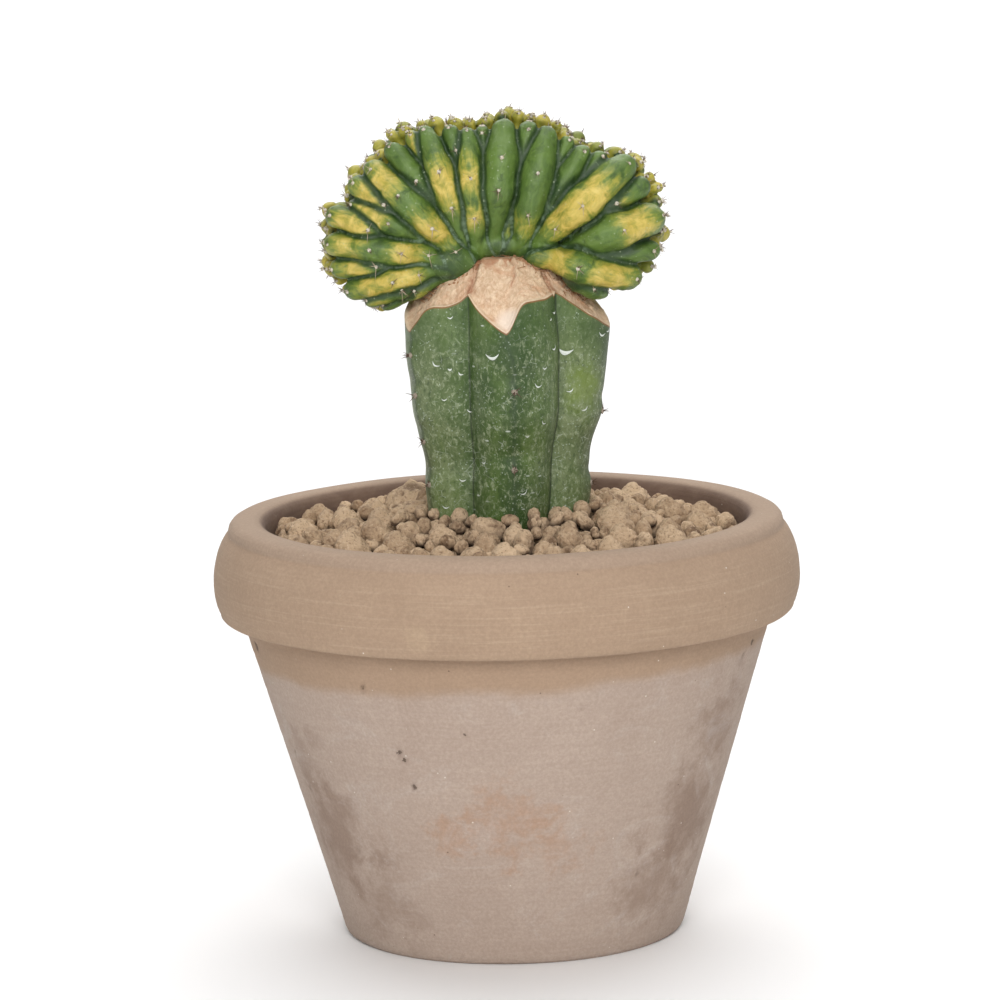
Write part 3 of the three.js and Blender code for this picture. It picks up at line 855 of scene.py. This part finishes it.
# places across a scab, from edge to edge, and how high it stands there
scab_profile = [(-0.5, 0.03), (-0.2, 0.17), (0.2, 0.17), (0.5, 0.03)]
steps = 12
scab_tufts = Tufts()
for turn, height, width, thick, tilt in scabs:
    points, faces = [], []
    lean = math.radians(tilt)
    for step in range(steps + 1):
        along = step / steps * 2 - 1
        body = thick * (1 - along ** 2) ** 0.8 + 0.05
        sag = 0.35 * width * (along ** 2 - 0.5)
        for side, lift in scab_profile:
            x = along * width / 2
            z = sag + side * body
            x, z = x * math.cos(lean) - z * math.sin(lean), x * math.sin(lean) + z * math.cos(lean)
            at = height * mm + z * mm
            base_radius = stock_radius(at, np.array(math.radians(turn)))
            angle = np.array(math.radians(turn) + x * mm / base_radius)
            reach = stock_radius(at, angle) + (lift * body + 0.25) * mm
            points.append(stock_point(at, angle, reach).tolist())
    for step in range(steps):
        for side in range(3):
            a = step * 4 + side
            faces.append([a, a + 4, a + 5, a + 1])
    scab_tufts.add(points, faces)
scab_tufts.piece("stock_scabs", scab_finish, "spine")


# ---- Granules ----
# Loose lumps of porous clay, poured round the stem. The large ones are pieces of their own; the
# small ones are dropped in one by one, and each comes to rest on what already lies there.

def ball(subdivisions):
    """The points and faces of a ball of radius 1."""
    builder = bmesh.new()
    bmesh.ops.create_icosphere(builder, subdivisions=subdivisions, radius=1)
    points = np.array([v.co[:] for v in builder.verts])
    faces = np.array([[v.index for v in f.verts] for f in builder.faces])
    builder.free()
    return points, faces


def stones(name, lumps, subdivisions):
    """One piece of crumbly stones; each is a centre, three half sizes, a turn and a tone."""
    points, faces = ball(subdivisions)
    seeds = np.arange(len(lumps))[:, None, None] * np.array([3.7, 5.1, 7.3]) + len(name)
    rough = (points[None] + seeds).reshape(-1, 3)
    swell = 0.26 * cloud(rough, 1.25, 1, 1) + 0.10 * cloud(rough, 0.5, 2, 2)
    swell += 0.05 * cloud(rough, 0.2, 3, 3)
    swell -= 0.10 * np.exp(-((cloud(rough, 0.9, 4, 1) / 0.05) ** 2))
    swell = swell.reshape(len(lumps), -1)
    placed = []
    for lump, (centre, sizes, turn, _) in enumerate(lumps):
        shape = points * (1 + swell[lump])[:, None] * np.array(sizes)
        placed.append(shape @ np.array(turn.to_matrix()).T + np.array(centre))
    all_faces = (faces[None] + np.arange(len(lumps))[:, None, None] * len(points)).reshape(-1, 3)
    made = mesh_piece(name, np.concatenate(placed), all_faces)
    measure(made, "swell", swell.ravel())
    # how far below its centre each point of a stone lies, used for the painted shade on its underside
    below = [
        (centre[2] - shape[:, 2]) / (shape[:, 2].max() - centre[2])
        for shape, (centre, *_) in zip(placed, lumps)
    ]
    measure(made, "below", np.concatenate(below))
    measure(made, "tone", np.repeat([lump[3] for lump in lumps], len(points)))
    made.data.materials.append(granule_finish)
    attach(made, "root")
    return made


grit = Finish("porous_granules", 0.95)
pores = grit.noise(0.8 * mm, 3, 0.75)
dusty = grit.noise(3.5 * mm, 4, 0.6, 0.6)
tone = grit.read("tone")
colour = grit.mix(tone, shade(154, 126, 98), shade(206, 178, 146))
colour = grit.mix(grit.window(dusty, 0.35, 0.7, 0, 0.5), colour, shade(208, 180, 148))
# painted shade in the dents of each stone
colour = grit.mix(grit.window(grit.read("swell"), 0.0, -0.22, 0, 0.75), colour, shade(98, 72, 50))
colour = grit.mix(grit.window(pores, 0.47, 0.33, 0, 0.6), colour, shade(108, 82, 60))
colour = grit.mix(grit.window(pores, 0.54, 0.70, 0, 0.5), colour, shade(224, 200, 172))
# painted shade: the underside of each stone darker, where stones shade each other
colour = grit.mix(grit.window(grit.read("below"), -0.2, 0.75, 0, 0.92), colour, shade(60, 43, 30))
grit_bump = grit.raised(dusty, 0.6 * mm, grit.raised(pores, 0.6 * mm))
granule_finish = grit.finished(colour, grit_bump)

random = Random(11)


def any_turn():
    return Euler([random.uniform(0, 2 * math.pi) for _ in range(3)])


lying = []
granule_nodes = sorted(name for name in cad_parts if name.startswith("granule_"))
for name in granule_nodes:
    low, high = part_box(name)
    middle, sizes = (low + high) / 2, (high - low) / 2
    lying.append((*middle, sum(sizes) / 3))
    lump = [(middle, sizes * 0.96, Euler((0, 0, 0)), random.uniform(0.2, 1))]
    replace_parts(stones(name.replace("granule", "large_granule"), lump, 5), name)

dropped = 900
places_tried = 30
nestling = 0.93
stem_side = mix_high.z
wall_side = mix_high.z - 5 * mm
bed = [(-25 * mm, 25 * mm, wall_side + 8.5 * mm, 6.8 * mm)]
lying.extend(bed)
for _ in range(dropped):
    size = (1.7 + 3.1 * random.random() ** 1.7) * mm
    best = None
    there = np.array(lying)
    for _ in range(places_tried):
        turn = random.uniform(0, 2 * math.pi)
        stem = float(stock_radius(np.array(stem_side), np.array(turn)))
        inner, outer = stem + 0.8 * size, mouth - 0.95 * size
        reach = math.sqrt(random.uniform(inner ** 2, outer ** 2))
        x, y = reach * math.sin(turn + front_rib), -reach * math.cos(turn + front_rib)
        outward = (reach - stem) / (mouth - stem)
        ground = stem_side + (wall_side - stem_side) * outward
        apart = np.hypot(there[:, 0] - x, there[:, 1] - y)
        touch = (there[:, 3] + size) * nestling
        near = apart < touch
        rest = ground + 0.7 * size
        if near.any():
            on_top = there[near, 2] + np.sqrt(touch[near] ** 2 - apart[near] ** 2)
            rest = max(rest, float(on_top.max()))
        over = rest + size - (ground + (10.5 - 2.5 * outward) * mm)
        if best is None or over < best[0]:
            best = (over, (x, y, rest, size))
    if best[0] < 0:
        lying.append(best[1])
        bed.append(best[1])

heaps = 3
for heap in range(heaps):
    lumps = []
    for x, y, z, size in bed[heap::heaps]:
        sizes = (
            size * random.uniform(1.0, 1.15),
            size * random.uniform(0.8, 1.0),
            size * random.uniform(0.7, 0.95),
        )
        lumps.append(((x, y, z), sizes, any_turn(), random.uniform(0, 1)))
    stones(f"small_granules_{heap + 1}", lumps, 4)


# ---- Crest ----
# The scion: a crested, variegated shoot grown into a fan. Club-shaped ribs fan out from the graft
# on both faces, and new knobs crowd along the growing edge between them. Where the plant lacks
# chlorophyll the skin is yellow.

def fan_point(angle, reach, depth):
    """A place in the fan, from its angle off upright, its reach from the graft, and its depth."""
    return np.array([reach * math.sin(angle), depth, graft + reach * math.cos(angle)])


# tip angle and reach, root angle and reach (degrees, mm), widest and tip width (mm), how far it
# stands proud (mm), the stretches that are yellow and the areoles, both from root 0 to tip 1
front_ribs = [
    (-111, 33, -101, 12, 5.0, 4.4, -1.0, [(0.5, 0.7)], (0.95, 0.6)),
    (-107, 36, -104, 18, 5.8, 5.0, -0.4, [(0.72, 0.95)], (0.96, 0.55)),
    (-101.5, 40, -97, 13, 6.6, 5.6, 0.6, [(0.35, 0.95)], (0.97, 0.62, 0.35)),
    (-93, 43, -91, 22, 5.8, 5.4, -1.0, [(0.6, 0.95)], (0.97, 0.55)),
    (-84.5, 44, -88, 12, 7.0, 6.2, 1.0, [(0.8, 1.0), (0.3, 0.55)], (0.96, 0.72, 0.46, 0.22)),
    (-75, 45, -80, 27, 6.2, 5.6, -0.4, [(0.45, 1.0)], (0.95, 0.5)),
    (-69.5, 40, -78, 18, 6.0, 5.2, 1.4, [(0.62, 1.0)], (0.96, 0.6)),
    (-62, 42.3, -73, 22, 6.6, 6.0, -0.6, [(0.6, 1.0)], (0.95, 0.62)),
    (-54.5, 41, -86, 10, 8.2, 6.2, 1.6, [(0.74, 1.0), (0.14, 0.5)], (0.94, 0.72, 0.32, 0.06)),
    (-44, 40, -56, 16, 6.6, 5.2, 0.0, [], (0.96, 0.6)),
    (-35, 39, -39, 27, 5.0, 4.8, -2.4, [(0.7, 1.0)], (0.95,)),
    (-30, 38, -77, 9, 7.2, 4.8, 1.4, [(0.38, 0.76)], (0.97, 0.70, 0.36)),
    (-20.5, 35.6, -28, 17, 5.2, 4.6, -1.2, [], (0.97, 0.78)),
    (-14, 33.3, -74, 6, 7.6, 5.2, 1.0, [(0.5, 0.8), (0.27, 0.44)], (0.97, 0.66, 0.28)),
    (-7, 33.3, -30, 5, 5.4, 4.2, -2.0, [], (0.95,)),
    (3, 34.6, -14, 6, 8.8, 6.4, 1.4, [], (0.76, 0.44)),
    (13.8, 34.6, 20, 4, 6.2, 5.2, -1.4, [(0.1, 0.25)], (0.95,)),
    (22.3, 34.8, 62, 6, 8.6, 6.0, 1.2, [(0.14, 0.26)], (0.68, 0.30)),
    (32, 34.8, 35, 22, 4.8, 4.2, -2.6, [], (0.97,)),
    (40, 35.2, 51, 13, 6.2, 5.0, 0.0, [], (0.95,)),
    (47, 37, 54, 23, 5.6, 5.0, -1.8, [], (0.95,)),
    (55.3, 41.3, 71, 10, 9.4, 6.6, 1.6, [(0.18, 0.84)], (0.94, 0.54, 0.2)),
    (65, 42, 70, 23, 6.6, 6.0, -0.8, [(0.5, 0.75)], (0.62,)),
    (77, 42.2, 83, 18, 9.8, 8.0, 1.0, [(0.62, 0.95)], (0.97, 0.68)),
    (89, 40.2, 91, 14, 7.0, 5.2, -1.4, [], (0.95,)),
    (100, 35.8, 87, 9, 8.4, 7.4, 1.2, [(0.08, 0.45), (0.58, 0.95)], (0.95, 0.46)),
    (110, 28.8, 97, 15, 6.4, 5.4, -0.4, [], (0.9,)),
]


def club(tip, root, widest, tip_width, depths, yellow, areoles):
    """The centre line, thickness and markings of one rib, from its root to its tip."""
    steps = 26
    share = np.linspace(0, 1, steps)
    (tip_angle, tip_reach), (root_angle, root_reach) = tip, root
    start = fan_point(math.radians(root_angle), root_reach * mm, 0)
    end = fan_point(math.radians(tip_angle), (tip_reach - tip_width / 2) * mm, 0)
    bend_angle = math.radians(tip_angle + 0.12 * (root_angle - tip_angle))
    bend = fan_point(bend_angle, (root_reach + tip_reach) * 0.46 * mm, 0)
    line = ((1 - share) ** 2)[:, None] * start + (2 * share * (1 - share))[:, None] * bend
    line = line + (share ** 2)[:, None] * end
    line[:, 1] = np.interp(share, (0, 0.45, 0.8, 1), depths) * mm
    girth = np.interp(share, (0, 0.25, 0.56, 0.82, 1), (0.42, 0.76, 1, 0.84, tip_width / widest))
    for place in areoles:
        girth = girth + 0.07 * np.exp(-(((share - place) / 0.09) ** 2))
        girth = girth - 0.05 * np.exp(-(((share - place - 0.13) / 0.06) ** 2))
    return {
        "line": line,
        "radius": girth * widest / 2 * mm,
        "share": share,
        "yellow": yellow,
        "areoles": areoles,
        "young": 0.0,
    }


random = Random(5)
clubs = []
for tip_angle, tip_reach, root_angle, root_reach, widest, tip_width, proud, yellow, areoles in front_ribs:
    depths = (-9.0 - proud * 0.3, -12.0 - proud, -11.2 - proud * 0.9, -8.4)
    clubs.append(
        club((tip_angle, tip_reach), (root_angle, root_reach), widest, tip_width, depths, yellow, areoles)
    )

tip_angles = [rib[0] for rib in front_ribs]
tip_reaches = [rib[1] for rib in front_ribs]
back_angle = -110
while back_angle < 110:
    reach = float(np.interp(back_angle, tip_angles, tip_reaches)) + random.uniform(-0.8, 0.6)
    long_rib = random.random() < 0.55
    root_reach = random.uniform(8, 12) if long_rib else random.uniform(17, 24)
    root_angle = max(-95, min(95, back_angle * random.uniform(1.0, 1.25)))
    widest = random.uniform(7.4, 9.4) if long_rib else random.uniform(5.8, 7.2)
    proud = random.uniform(0.4, 1.4) if long_rib else random.uniform(-1.0, 0.2)
    patches = []
    if random.random() < 0.5:
        patches.append((random.uniform(0.65, 0.8), 1.0))
    if long_rib and random.random() < 0.5:
        begin = random.uniform(0.15, 0.4)
        patches.append((begin, begin + random.uniform(0.2, 0.35)))
    depths = (9.0 + proud * 0.3, 12.0 + proud, 11.2 + proud * 0.9, 8.6)
    areoles = (0.96, 0.66, 0.36) if long_rib else (0.95, 0.55)
    clubs.append(
        club((back_angle, reach), (root_angle, root_reach), widest, widest * 0.76, depths, patches, areoles)
    )
    clubs[-1]["young"] = random.uniform(0.1, 0.7)
    back_angle += widest * random.uniform(1.0, 1.12)

# the knobs of the growing edge, in two staggered rows: depth, and reach beyond the ribs
degrees_in_radian = 57.3
for row, (depth, beyond) in enumerate(((-2.8, 1.7), (2.8, 1.9))):
    knob_angle = -112 + 2.5 * row
    while knob_angle < 111:
        reach = float(np.interp(knob_angle, tip_angles, tip_reaches)) + beyond + random.uniform(-1.6, 0.9)
        width = random.uniform(2.8, 4.7)
        depths = (depth + random.uniform(-1.2, 1.2),) * 4
        knob = club((knob_angle, reach), (knob_angle, reach - 9), width * 0.8, width, depths, [], (0.97,))
        knob["young"] = random.uniform(0.3, 1.2)
        clubs.append(knob)
        knob_angle += width / reach * degrees_in_radian * random.uniform(1.0, 1.35)


def sweep(line, radius, sides):
    """The points and faces of a round body along a line, with round ends."""
    ways = np.gradient(line, axis=0)
    ways /= np.linalg.norm(ways, axis=1)[:, None]
    rounding = np.radians([10, 35, 60, 80])
    caps, ends = np.sin(rounding), np.cos(rounding)
    start = [line[0] - ways[0] * radius[0] * c for c in ends]
    finish = [line[-1] + ways[-1] * radius[-1] * c for c in ends[::-1]]
    line = np.concatenate([start, line, finish])
    ways = np.concatenate([[ways[0]] * len(caps), ways, [ways[-1]] * len(caps)])
    radius = np.concatenate([radius[0] * caps, radius, radius[-1] * caps[::-1]])
    across = np.cross(ways, [0, 1, 0])
    across /= np.linalg.norm(across, axis=1)[:, None]
    beside = np.cross(ways, across)
    turn = np.arange(sides) / sides * 2 * math.pi
    rings = line[:, None] + radius[:, None, None] * (
        across[:, None] * np.cos(turn)[None, :, None]
        + 1.22 * beside[:, None] * np.sin(turn)[None, :, None]
    )
    rows = len(rings)
    row, side = np.meshgrid(np.arange(rows - 1), np.arange(sides), indexing="ij")
    nextside = (side + 1) % sides
    faces = np.stack(
        [row * sides + side, row * sides + nextside, (row + 1) * sides + nextside, (row + 1) * sides + side],
        axis=2,
    ).reshape(-1, 4).tolist()
    faces.append(list(range(sides))[::-1])
    faces.append([(rows - 1) * sides + i for i in range(sides)])
    return rings.reshape(-1, 3), faces


def settled(piece):
    """The mesh of a piece as its modifiers leave it."""
    return bpy.data.meshes.new_from_object(piece.evaluated_get(bpy.context.evaluated_depsgraph_get()))


def of_points(mesh, what):
    flat = np.zeros(len(mesh.vertices) * 3)
    mesh.vertices.foreach_get(what, flat)
    return flat.reshape(-1, 3)


club_sides = 20
flesh = Tufts()
for rib in clubs:
    flesh.add(*sweep(rib["line"], rib["radius"], club_sides))
core_points, core_faces = ball(5)
# the fleshy middle of the fan, and the foot that has knitted to the callus: centre, half sizes
cores = [
    ((-1.5, 0, 11), (36, 10, 20)), ((0, 0, 3), (14.5, 11.6, 6)), ((-1.5, 0, 2), (40, 8.5, 14)),
    ((22, 0, 6), (20, 9.5, 12)), ((-13, -8, -1), (9, 7.6, 6)), ((11, -8, 0), (7, 7, 4)),
]
for centre, sizes in cores:
    middle = np.array([centre[0] * mm, centre[1] * mm, graft + centre[2] * mm])
    flesh.add(core_points * np.array(sizes) * mm + middle, core_faces.tolist())
rough_crest = mesh_piece("rough_crest", flesh.points, flesh.faces)
remesh = rough_crest.modifiers.new("join", "REMESH")
remesh.mode = "VOXEL"
remesh.voxel_size = 0.45 * mm
relax = rough_crest.modifiers.new("relax", "SMOOTH")
relax.factor = 0.5
relax.iterations = 2
shaped = settled(rough_crest)
relax.iterations = 40
slack = settled(rough_crest)
bpy.data.objects.remove(rough_crest)
crest = bpy.data.objects.new("crest_flesh", shaped)
bpy.context.scene.collection.objects.link(crest)

where, out = of_points(shaped, "co"), of_points(shaped, "normal")
# how far each point lies in a hollow: where a much smoother skin would pass above it
hollow = np.einsum("ij,ij->i", of_points(slack, "co") - where, out) / mm
where += out * (0.16 * cloud(where, 2.6 * mm, 8, 3) + 0.25 * cloud(where, 9 * mm, 9, 2))[:, None] * mm
# the underside rests on the callus
cone = graft - (np.hypot(where[:, 0], where[:, 1]) - graft_radius) * bevel
cone = np.minimum(cone, graft) - 0.5 * mm
under = (where[:, 2] < cone) & (np.hypot(where[:, 0], where[:, 1]) < shoulder)
where[under, 2] = cone[under]
shaped.polygons.foreach_set("use_smooth", [True] * len(shaped.polygons))

# for every point: the rib it belongs to, how far along and beside that rib it lies, and how
# near it is to the groove between that rib and the next
closest = np.full(len(where), 9.0)
second = np.full(len(where), 9.0)
gold, young, along, length_mm, side_mm = (np.zeros(len(where)) for _ in range(5))
for number, rib in enumerate(clubs):
    line, radius, share = rib["line"], rib["radius"], rib["share"]
    reach = radius.max() + 3 * mm
    low, high = line.min(axis=0) - reach, line.max(axis=0) + reach
    inside = np.nonzero(((where > low) & (where < high)).all(axis=1))[0]
    apart = np.linalg.norm(where[inside, None] - line[None], axis=2)
    weight = np.exp(-((apart ** 2 - apart.min(axis=1)[:, None] ** 2) / (1.5 * mm) ** 2))
    weight /= weight.sum(axis=1)[:, None]
    here = weight @ share
    middle = weight @ line
    distance = np.linalg.norm(where[inside] - middle, axis=1) / (weight @ radius)
    grown = rib["line"][-1] - rib["line"][0]
    across = np.array([grown[2], 0, -grown[0]]) / max(np.hypot(grown[0], grown[2]), 1e-6)
    nearer = distance < closest[inside]
    second[inside] = np.where(nearer, closest[inside], np.minimum(second[inside], distance))
    taken = inside[nearer]
    closest[taken] = distance[nearer]
    along[taken] = here[nearer]
    length_mm[taken] = here[nearer] * np.linalg.norm(grown) / mm + 53 * number
    side_mm[taken] = (where[taken] - middle[nearer]) @ across / mm
    patch = np.zeros(len(taken))
    for begin, end in rib["yellow"]:
        edge_in = eased(along[taken], begin - 0.16, begin + 0.16)
        edge_out = 1 - eased(along[taken], end - 0.16, end + 0.16)
        patch = np.maximum(patch, edge_in * edge_out)
    gold[taken] = patch
    beside = np.abs(side_mm[taken]) / (rib["radius"].max() / mm)
    gold[taken] *= 1 - 0.45 * eased(beside, 0.45, 1.0)
    young[taken] = rib["young"] * eased(along[taken], 0.2, 0.9)
groove = 1 - eased(second - closest, 0.05, 0.5)
far = eased(closest, 1.3, 1.9)
groove = np.maximum(groove, 0.35 * far)
# the grooves are cut a little deeper than the joining leaves them
where -= out * (groove ** 2 * (1 - far))[:, None] * 0.36 * mm
shaped.vertices.foreach_set("co", where.ravel())
shaped.update()
measure(crest, "gold", gold * (1 - 0.75 * groove))
measure(crest, "young", young)
measure(crest, "along", along)
measure(crest, "length_mm", length_mm)
measure(crest, "side_mm", side_mm)
measure(crest, "groove", groove)
measure(crest, "hollow", hollow)

leaf = Finish("variegated_skin", 0.42)
gold, young, along, groove, hollow = (
    leaf.read(name) for name in ("gold", "young", "along", "groove", "hollow")
)
rib_place = leaf.nodes.new("ShaderNodeCombineXYZ")
leaf.feed(rib_place.inputs["X"], leaf.times(leaf.read("length_mm"), 0.35 * mm))
leaf.feed(rib_place.inputs["Y"], leaf.times(leaf.read("side_mm"), mm))
streaky = leaf.noise(1.3 * mm, 5, 0.65, 0.5, rib_place.outputs[0])
blotchy = leaf.noise(4.5 * mm, 5, 0.65, 0.8)
broad = leaf.noise(11 * mm, 3, 0.55, 0.5)
green = leaf.mix(leaf.window(broad, 0.3, 0.7), shade(50, 78, 24), shade(86, 114, 42))
green = leaf.mix(leaf.window(streaky, 0.42, 0.7, 0, 0.55), green, shade(112, 138, 66))
# painted highlight along the crowns of the ribs, lighter away from the grooves
green = leaf.mix(leaf.window(groove, 0.35, 0.0, 0, 0.4), green, shade(104, 132, 58))
green = leaf.mix(leaf.window(blotchy, 0.5, 0.3, 0, 0.65), green, shade(44, 68, 28))
olive = leaf.mix(leaf.window(blotchy, 0.3, 0.7), shade(150, 148, 44), shade(206, 186, 78))
green = leaf.mix(leaf.times(leaf.window(young, 0.15, 0.7), 0.85), green, olive)
yellow = leaf.mix(leaf.window(blotchy, 0.3, 0.7), shade(190, 162, 58), shade(214, 192, 102))
yellow = leaf.mix(leaf.window(streaky, 0.52, 0.72, 0, 0.45), yellow, shade(150, 148, 52))
unclear = leaf.window(streaky, 0.25, 0.75, -0.13, 0.10)
unclear = leaf.plus(unclear, leaf.window(blotchy, 0.25, 0.75, -0.42, 0.22))
ragged = leaf.plus(gold, leaf.times(unclear, leaf.window(gold, 0.0, 0.35)))
mottled = leaf.mix(leaf.window(streaky, 0.35, 0.65), shade(108, 128, 46), shade(150, 152, 60))
colour = leaf.mix(leaf.window(ragged, 0.0, 0.6), green, mottled)
colour = leaf.mix(leaf.window(ragged, 0.38, 1.05), colour, yellow)
# painted shade: the grooves between ribs darker, less so on young knobs, and the deepest hollows near black
colour = leaf.mix(leaf.times(groove, leaf.window(young, 0.5, 1.0, 0.86, 0.4)), colour, shade(32, 56, 28))
colour = leaf.mix(leaf.window(hollow, 0.3, 1.0, 0, 0.85), colour, shade(20, 36, 18))
lower = leaf.window(along, 0.55, 0.15)
frost = leaf.times(leaf.window(groove, 0.5, 0.9), lower, leaf.window(blotchy, 0.42, 0.6))
colour = leaf.mix(leaf.times(frost, 0.55), colour, shade(128, 152, 122))
scuffs = leaf.noise(1.4 * mm, 5, 0.8, 1.0)
scuffed = leaf.times(leaf.window(scuffs, 0.56, 0.70), leaf.window(broad, 0.42, 0.58))
colour = leaf.mix(leaf.times(scuffed, 0.45), colour, shade(160, 178, 138))
flecks = leaf.times(leaf.window(leaf.cells(1.5 * mm), 0.18, 0.08), leaf.window(blotchy, 0.46, 0.56))
colour = leaf.mix(leaf.times(flecks, 0.45), colour, shade(190, 202, 168))
leaf_bump = leaf.raised(blotchy, 0.35 * mm, leaf.raised(scuffs, 0.14 * mm))
shaped.materials.append(leaf.finished(colour, leaf_bump, leaf.window(scuffs, 0.3, 0.7, 0.36, 0.56)))
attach(crest, "root")
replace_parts(crest, "crest")


# ---- Crest areoles ----
# Each areole is a tuft of white wool with short spines. The ones near the growing edge are dark
# and stubby; those lower down have longer straw-coloured spines, the longest pointing down.

straw_finish = two_toned(
    "straw_spine", 0.6, (1.2 * mm, 3, 0.6), shade(150, 126, 98), shade(214, 200, 174), 0.03 * mm
)
white_wool = two_toned(
    "white_wool", 1.0, (0.3 * mm, 4, 0.7), shade(184, 172, 150), shade(238, 232, 218), 0.15 * mm
)

surface = BVHTree.FromPolygons([Vector(p) for p in where], [p.vertices[:] for p in shaped.polygons])
random = Random(21)
wool_tufts, dark_spines, straw_spines = Tufts(), Tufts(), Tufts()
for rib in clubs:
    growing = Vector(rib["line"][-1] - rib["line"][-4]).normalized()
    for share in rib["areoles"]:
        step = int(share * (len(rib["line"]) - 1))
        centre = Vector(rib["line"][step])
        face = Vector((0, math.copysign(1, centre.y), 0))
        lean = 0.5 if share > 0.9 else 0.1
        outward = (face * (1 - lean) + growing * lean).normalized()
        place, normal, _, _ = surface.ray_cast(centre + outward * 30 * mm, -outward)
        if place is None or (place - centre).length > 9 * mm:
            continue
        size = random.uniform(0.36, 0.56) * mm
        wool_tufts.cushion(place + normal * 0.05 * mm, normal, size, random)
        upper = share > 0.55
        for _ in range(random.randint(5, 8)):
            spread = any_way()
            spread -= normal * spread.dot(normal)
            way = normal * random.uniform(0.25, 0.8) + spread
            length = random.uniform(0.9, 2.2) * mm if upper else random.uniform(1.2, 2.8) * mm
            kind = dark_spines if random.random() < (0.65 if upper else 0.4) else straw_spines
            kind.spine(place, way, length, random.uniform(0.13, 0.22) * mm)
        if not upper:
            way = normal * 0.3 + Vector((random.uniform(-0.2, 0.2), 0, -1))
            straw_spines.spine(place, way, random.uniform(2.6, 4.4) * mm, 0.2 * mm)
    # the youngest areole caps the rib and bristles with dark spines
    tip = Vector(rib["line"][-1])
    above = tip + growing * 4 * mm + Vector((0, math.copysign(1.2 * mm, tip.y), 0))
    place, normal, _, _ = surface.find_nearest(above)
    for _ in range(3):
        shift = Vector((random.uniform(-0.6, 0.6), random.uniform(-0.4, 0.4), 0)) * mm
        wool_tufts.cushion(place + shift, normal, random.uniform(0.4, 0.65) * mm, random)
    for _ in range(random.randint(3, 6)):
        spread = any_way()
        kind = dark_spines if random.random() < 0.75 else straw_spines
        kind.spine(place, normal + spread * 0.8, random.uniform(0.8, 2.2) * mm, 0.2 * mm)
wool_tufts.piece("crest_wool", white_wool, "spine")
dark_spines.piece("crest_dark_spines", dark_horn, "spine")
straw_spines.piece("crest_straw_spines", straw_finish, "spine")


# ---- Graft fibres ----
# Dried threads, brown and frayed, that were left where the two plants were pressed together and
# their skins tore: they curl out of the joint all the way round it.

threads_tried = 1500
clots = 420
fibre_finish = two_toned(
    "dried_fibre", 0.9, (1.4 * mm, 3, 0.6), shade(96, 58, 34), shade(206, 160, 118), 0.05 * mm
)
random = Random(8)
callus = np.array([v.co for v in stock.data.vertices])
reach_of = np.hypot(callus[:, 0], callus[:, 1])
on_callus = np.append(past_edge.ravel(), [0, 0]) > 1 * mm
callus = callus[on_callus & (reach_of > 0.7 * graft_radius)]
joint = []
for point in callus[::3]:
    place, normal, _, gap = surface.find_nearest(Vector(point))
    if gap < random.uniform(0.3, 2.2) * mm and (Vector(point) - place).dot(normal) > 0:
        joint.append((Vector(point), normal))
frayed = Tufts()
for _ in range(threads_tried):
    place, normal = random.choice(joint)
    thick = cloud(np.array([place]), 9 * mm, 4, 1)[0]
    if random.random() > 0.35 + 0.9 * thick:
        continue
    outward = Vector((place.x, place.y, 0)).normalized()
    round_it = Vector((-outward.y, outward.x, 0))
    way = round_it * random.uniform(-1, 1) + outward * random.uniform(0.2, 0.9)
    way += Vector((0, 0, random.uniform(-0.6, 0.5)))
    length = random.uniform(0.8, 3.6) * mm
    thickness = random.uniform(0.2, 0.38) * mm
    frayed.spine(place, way, length, thickness, random.uniform(-0.2, 0.5), steps=6)
for _ in range(clots):
    place, normal = random.choice(joint)
    frayed.cushion(place, normal, random.uniform(0.2, 0.45) * mm, random)
frayed.piece("graft_fibres", fibre_finish, "spine")
